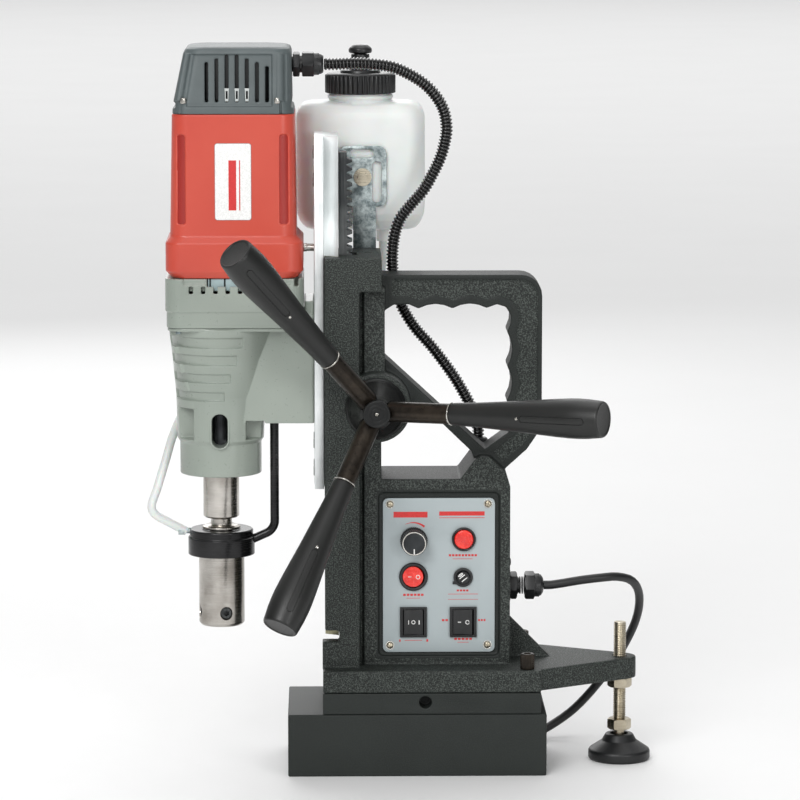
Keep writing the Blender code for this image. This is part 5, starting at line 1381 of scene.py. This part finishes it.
def make_spindle():
    centre = (SPINDLE_X, 0)
    profile = [
        (0, 172), (8.6, 172), (8.6, 191), (15.2, 191.3), (15.2, 193.0), (12.8, 193.9), (8.6, 194.6),
        (8.4, 199.4),
        (12.9, 200.4), (14.3, 201.6), (14.3, 350), (0, 350),
    ]
    instead("spindle", turned(profile, centre, "Z", 0.4), "steel")
    ring = [
        (26.5, 170.6), (26.5, 184.2), (25.4, 185.0), (25.3, 190.0), (24.4, 190.9), (16.6, 190.9),
        (9.0, 189.4),
        (9.0, 172.4), (19.0, 172.4), (19.0, 170.6),
    ]
    instead("coolant_ring", turned(ring, centre, "Z", 0.45), "ring_steel")
    body = turned([(0, 113.4), (16.4, 113.4), (18.15, 115.4), (18.15, 171.4), (0, 171.4)], centre, "Z",
                  0.5, 128)
    chuck = cut(body, rod(9.55, 110, 163, centre, "Z", 0))
    screws = []
    for turn in (-77.0, -167.0):
        spin = Matrix.Translation((SPINDLE_X, 0, 124.6)) @ Matrix.Rotation(math.radians(turn), 4, "Z") @ (
            Matrix.Rotation(math.pi / 2, 4, "Y"))
        hole = turned([(0, 6), (5.0, 6), (5.0, 17.4), (5.7, 18.6), (5.7, 20), (0, 20)], soft=0)
        chuck = cut(chuck, moved(hole, spin))
        grub = turned([(0, 10), (4.75, 10), (4.75, 16.2), (4.1, 16.9), (0, 16.9)], soft=0.2, segments=48)
        screws.append(moved(cut(grub, prism(hex_outline(4.2, (0, 0)), 12.5, 18, "Z")), spin))
    instead("arbor_chuck", chuck, "steel")
    piece("chuck_screws", gathered(*screws), "spindle_set", "dark_steel")
    bend = arc(-124.0, 197.0, 11.0, 0, -66, 16)
    route = [(-113.0, 0, 282.2), (-113.0, 0, 262), (-113.0, 0, 235), *[(x, 0, z) for x, z in bend],
             (-130.4, 0, 182.1)]
    instead("ring_stay", swept(smooth_route(route, 2.0), lambda i: 3.5, 40), "ring_steel")
    nipple = turned([(0, -190.0), (3.4, -190.0), (3.4, -184.5), (2.3, -184.2), (2.3, -179), (0, -179)],
                    (0, 189.0), "X", 0.3)
    piece("coolant_nipple", nipple, "carriage", "zinc")


# ---------------------------------------------------------------- levelling foot


def make_foot():
    centre = (STUD_X, STUD_Y)
    screw = thread(5.1, 0.55, 1.5, 33.0, 112.4, centre)
    collar = turned([(0, 14.5), (1.8, 14.5), (4.2, 15.8), (4.2, 24.8), (0, 24.8)], centre, "Z", 0.3, 48)
    tip = turned([(0, 111.5), (4.5, 111.5), (4.2, 112.3), (0, 112.4)], centre, "Z", 0.2, 48)
    hexagon = hex_nut(16.6, 24.6, 33.2, centre, "Z", 0.9)
    instead("levelling_stud", gathered(screw, collar, tip, hexagon), "nickel")
    nut = cut(hex_nut(17.0, 59.4, 67.3, centre, "Z", 0.9), rod(5.5, 50, 80, centre))
    instead("stud_lock_nut", nut, "nickel")
    pad = turned(
        [(0, 0), (23.6, 0), (24.9, 1.6), (24.9, 7.0), (24.0, 8.6), (14.0, 15.4), (11.2, 20.4),
         (10.4, 21.0), (7.2, 21.0),
         (7.2, 14.2), (0, 14.2)], centre, "Z", 0.7,
    )
    instead("foot_pad", pad, "rubber")


# ---------------------------------------------------------------- coolant bottle


def make_bottle():
    def loop(z, inset, radius=16):
        left, right = BOTTLE_X - 51.9 + inset, BOTTLE_X + 51.9 - inset
        row = blend_loop(left, right, 31 - inset, radius - inset * 0.5, z, steps=12)
        return [(x, y + BOTTLE_Y, z) for x, y, _ in row]
    body = skin([
        loop(424.5, 12), loop(426, 7.5), loop(428.5, 5), loop(432.5, 2.4), loop(438, 0.6), loop(444, 0),
        loop(515, 0),
        loop(519, 0.6), loop(522, 2), loop(525, 4.4), loop(526.5, 7), loop(527.5, 12),
    ])
    centre = (BOTTLE_X, BOTTLE_Y)
    neck = rod(25.0, 520, 544.8, centre, "Z", 0, 72)
    bead = turned([(24, 530.0), (26.6, 530.0), (26.6, 532.4), (24, 532.4)], centre, "Z", 0)
    outlet = rod(5.6, 413.5, 432, (OUTLET_X, BOTTLE_Y), "Z", 0, 40)
    solid = cut(joined(body, neck, bead, outlet), rod(21.5, 500, 550, centre, "Z", 0, 64))
    instead("coolant_bottle", as_cast(solid, 0.8, 6, 0.25), "bottle", 0)
    cap = turned(
        [(0, 550.2), (25.6, 550.2), (27.4, 549.2), (27.4, 533.8), (25.4, 533.6), (25.4, 546.2), (0, 546.2)],
        centre, "Z", 0.5,
    )
    ribs = cut(fluted(28.5, 27.5, 46, 534.2, 548.6, centre, "Z", 0.25), rod(26.6, 530, 552, centre))
    crown = turned([(0, 549.8), (16.5, 549.8), (15.8, 552.4), (9.5, 553.0), (9.0, 559.0), (0, 559.0)],
                   centre, "Z", 0.6)
    collar = rod(7.4, 549, 565.0, centre, "Z", 0.5)
    flutes = fluted(9.2, 8.2, 14, 552.6, 558.6, centre, "Z", 0.2)
    cap = cut(joined(cap, ribs, crown, flutes, collar), rod(5.2, 540, 570, centre, "Z", 0))
    instead("bottle_cap", cap, "black_plastic")
    knob = turned(
        [(0, 545.6), (4.9, 545.6), (4.9, 565.4), (8.6, 565.9), (9.4, 566.8), (9.4, 569.2), (8.4, 570.6),
         (6.0, 572.4),
         (0, 573)], centre, "Z", 0.5,
    )
    instead("vent_valve", knob, "black_plastic")
    spot = (-42.0, 468.3)
    washer = turned([(0, 42.45), (7.2, 42.45), (7.2, 41.4), (0, 41.4)], spot, "Y", 0.3, 64)
    bolt = moved(hex_nut(8.0, -41.5, -38.4, (0, 0), "Z", 0.6),
                 Matrix.Translation((spot[0], 0, spot[1])) @ Matrix.Rotation(math.pi / 2, 4, "X"))
    bolt_back = turned([(0, 38.6), (2.6, 38.6), (2.6, 46), (0, 46)], spot, "Y", 0.2, 32)
    for bm in (washer, bolt, bolt_back):
        bmesh.ops.recalc_face_normals(bm, faces=bm.faces)
    piece("bracket_bolt", gathered(washer, bolt, bolt_back), "frame", "nickel")


def soften_plain_nodes():
    """The CAD nodes that only need their edges broken."""
    for node, width, steps, finish in (
        ("magnet_housing", 0.9, 3, "magnet_paint"), ("base_plate", 0.9, 3, "magnet_paint"),
        ("rear_cover", 0.8, 3, "magnet_paint"), ("control_panel", 0.3, 2, "panel"),
        ("slide_plate", 0.45, 2, "anodised"), ("rack", 0.25, 2, "dark_steel"),
        ("gib_strip", 0.2, 2, "brass"), ("bottle_bracket", 0.3, 2, "zinc"),
    ):
        instead(node, rounded(from_cad(node), width, steps), finish)


def dress_inner_nodes():
    """The CAD nodes left as they are get their procedural finish."""
    finishes = {
        "magnet_coil": "resin", "shaft_bush_front": "bronze", "shaft_bush_rear": "bronze",
        "control_board": "board",
        "stator": "windings", "armature": "windings", "intermediate_gear": "steel", "spindle_gear": "steel",
        "pinion_shaft": "steel",
    }
    for node, finish in finishes.items():
        obj = NODES[node]
        for slot in obj.material_slots:
            slot.material = MATERIALS[finish]


make_camera()
make_floor()
make_world()
make_lights()
make_mains_lead()
make_hoses()
make_base()
make_casting()
make_panel()
make_marks()
make_knob()
make_lamp()
make_fuse()
make_switches()
make_glands()
make_slide()
make_hub()
make_levers()
make_gearbox_nose()
make_gearbox_band()
make_motor_housing()
make_motor_cap()
make_spindle()
make_foot()
make_bottle()
soften_plain_nodes()
dress_inner_nodes()
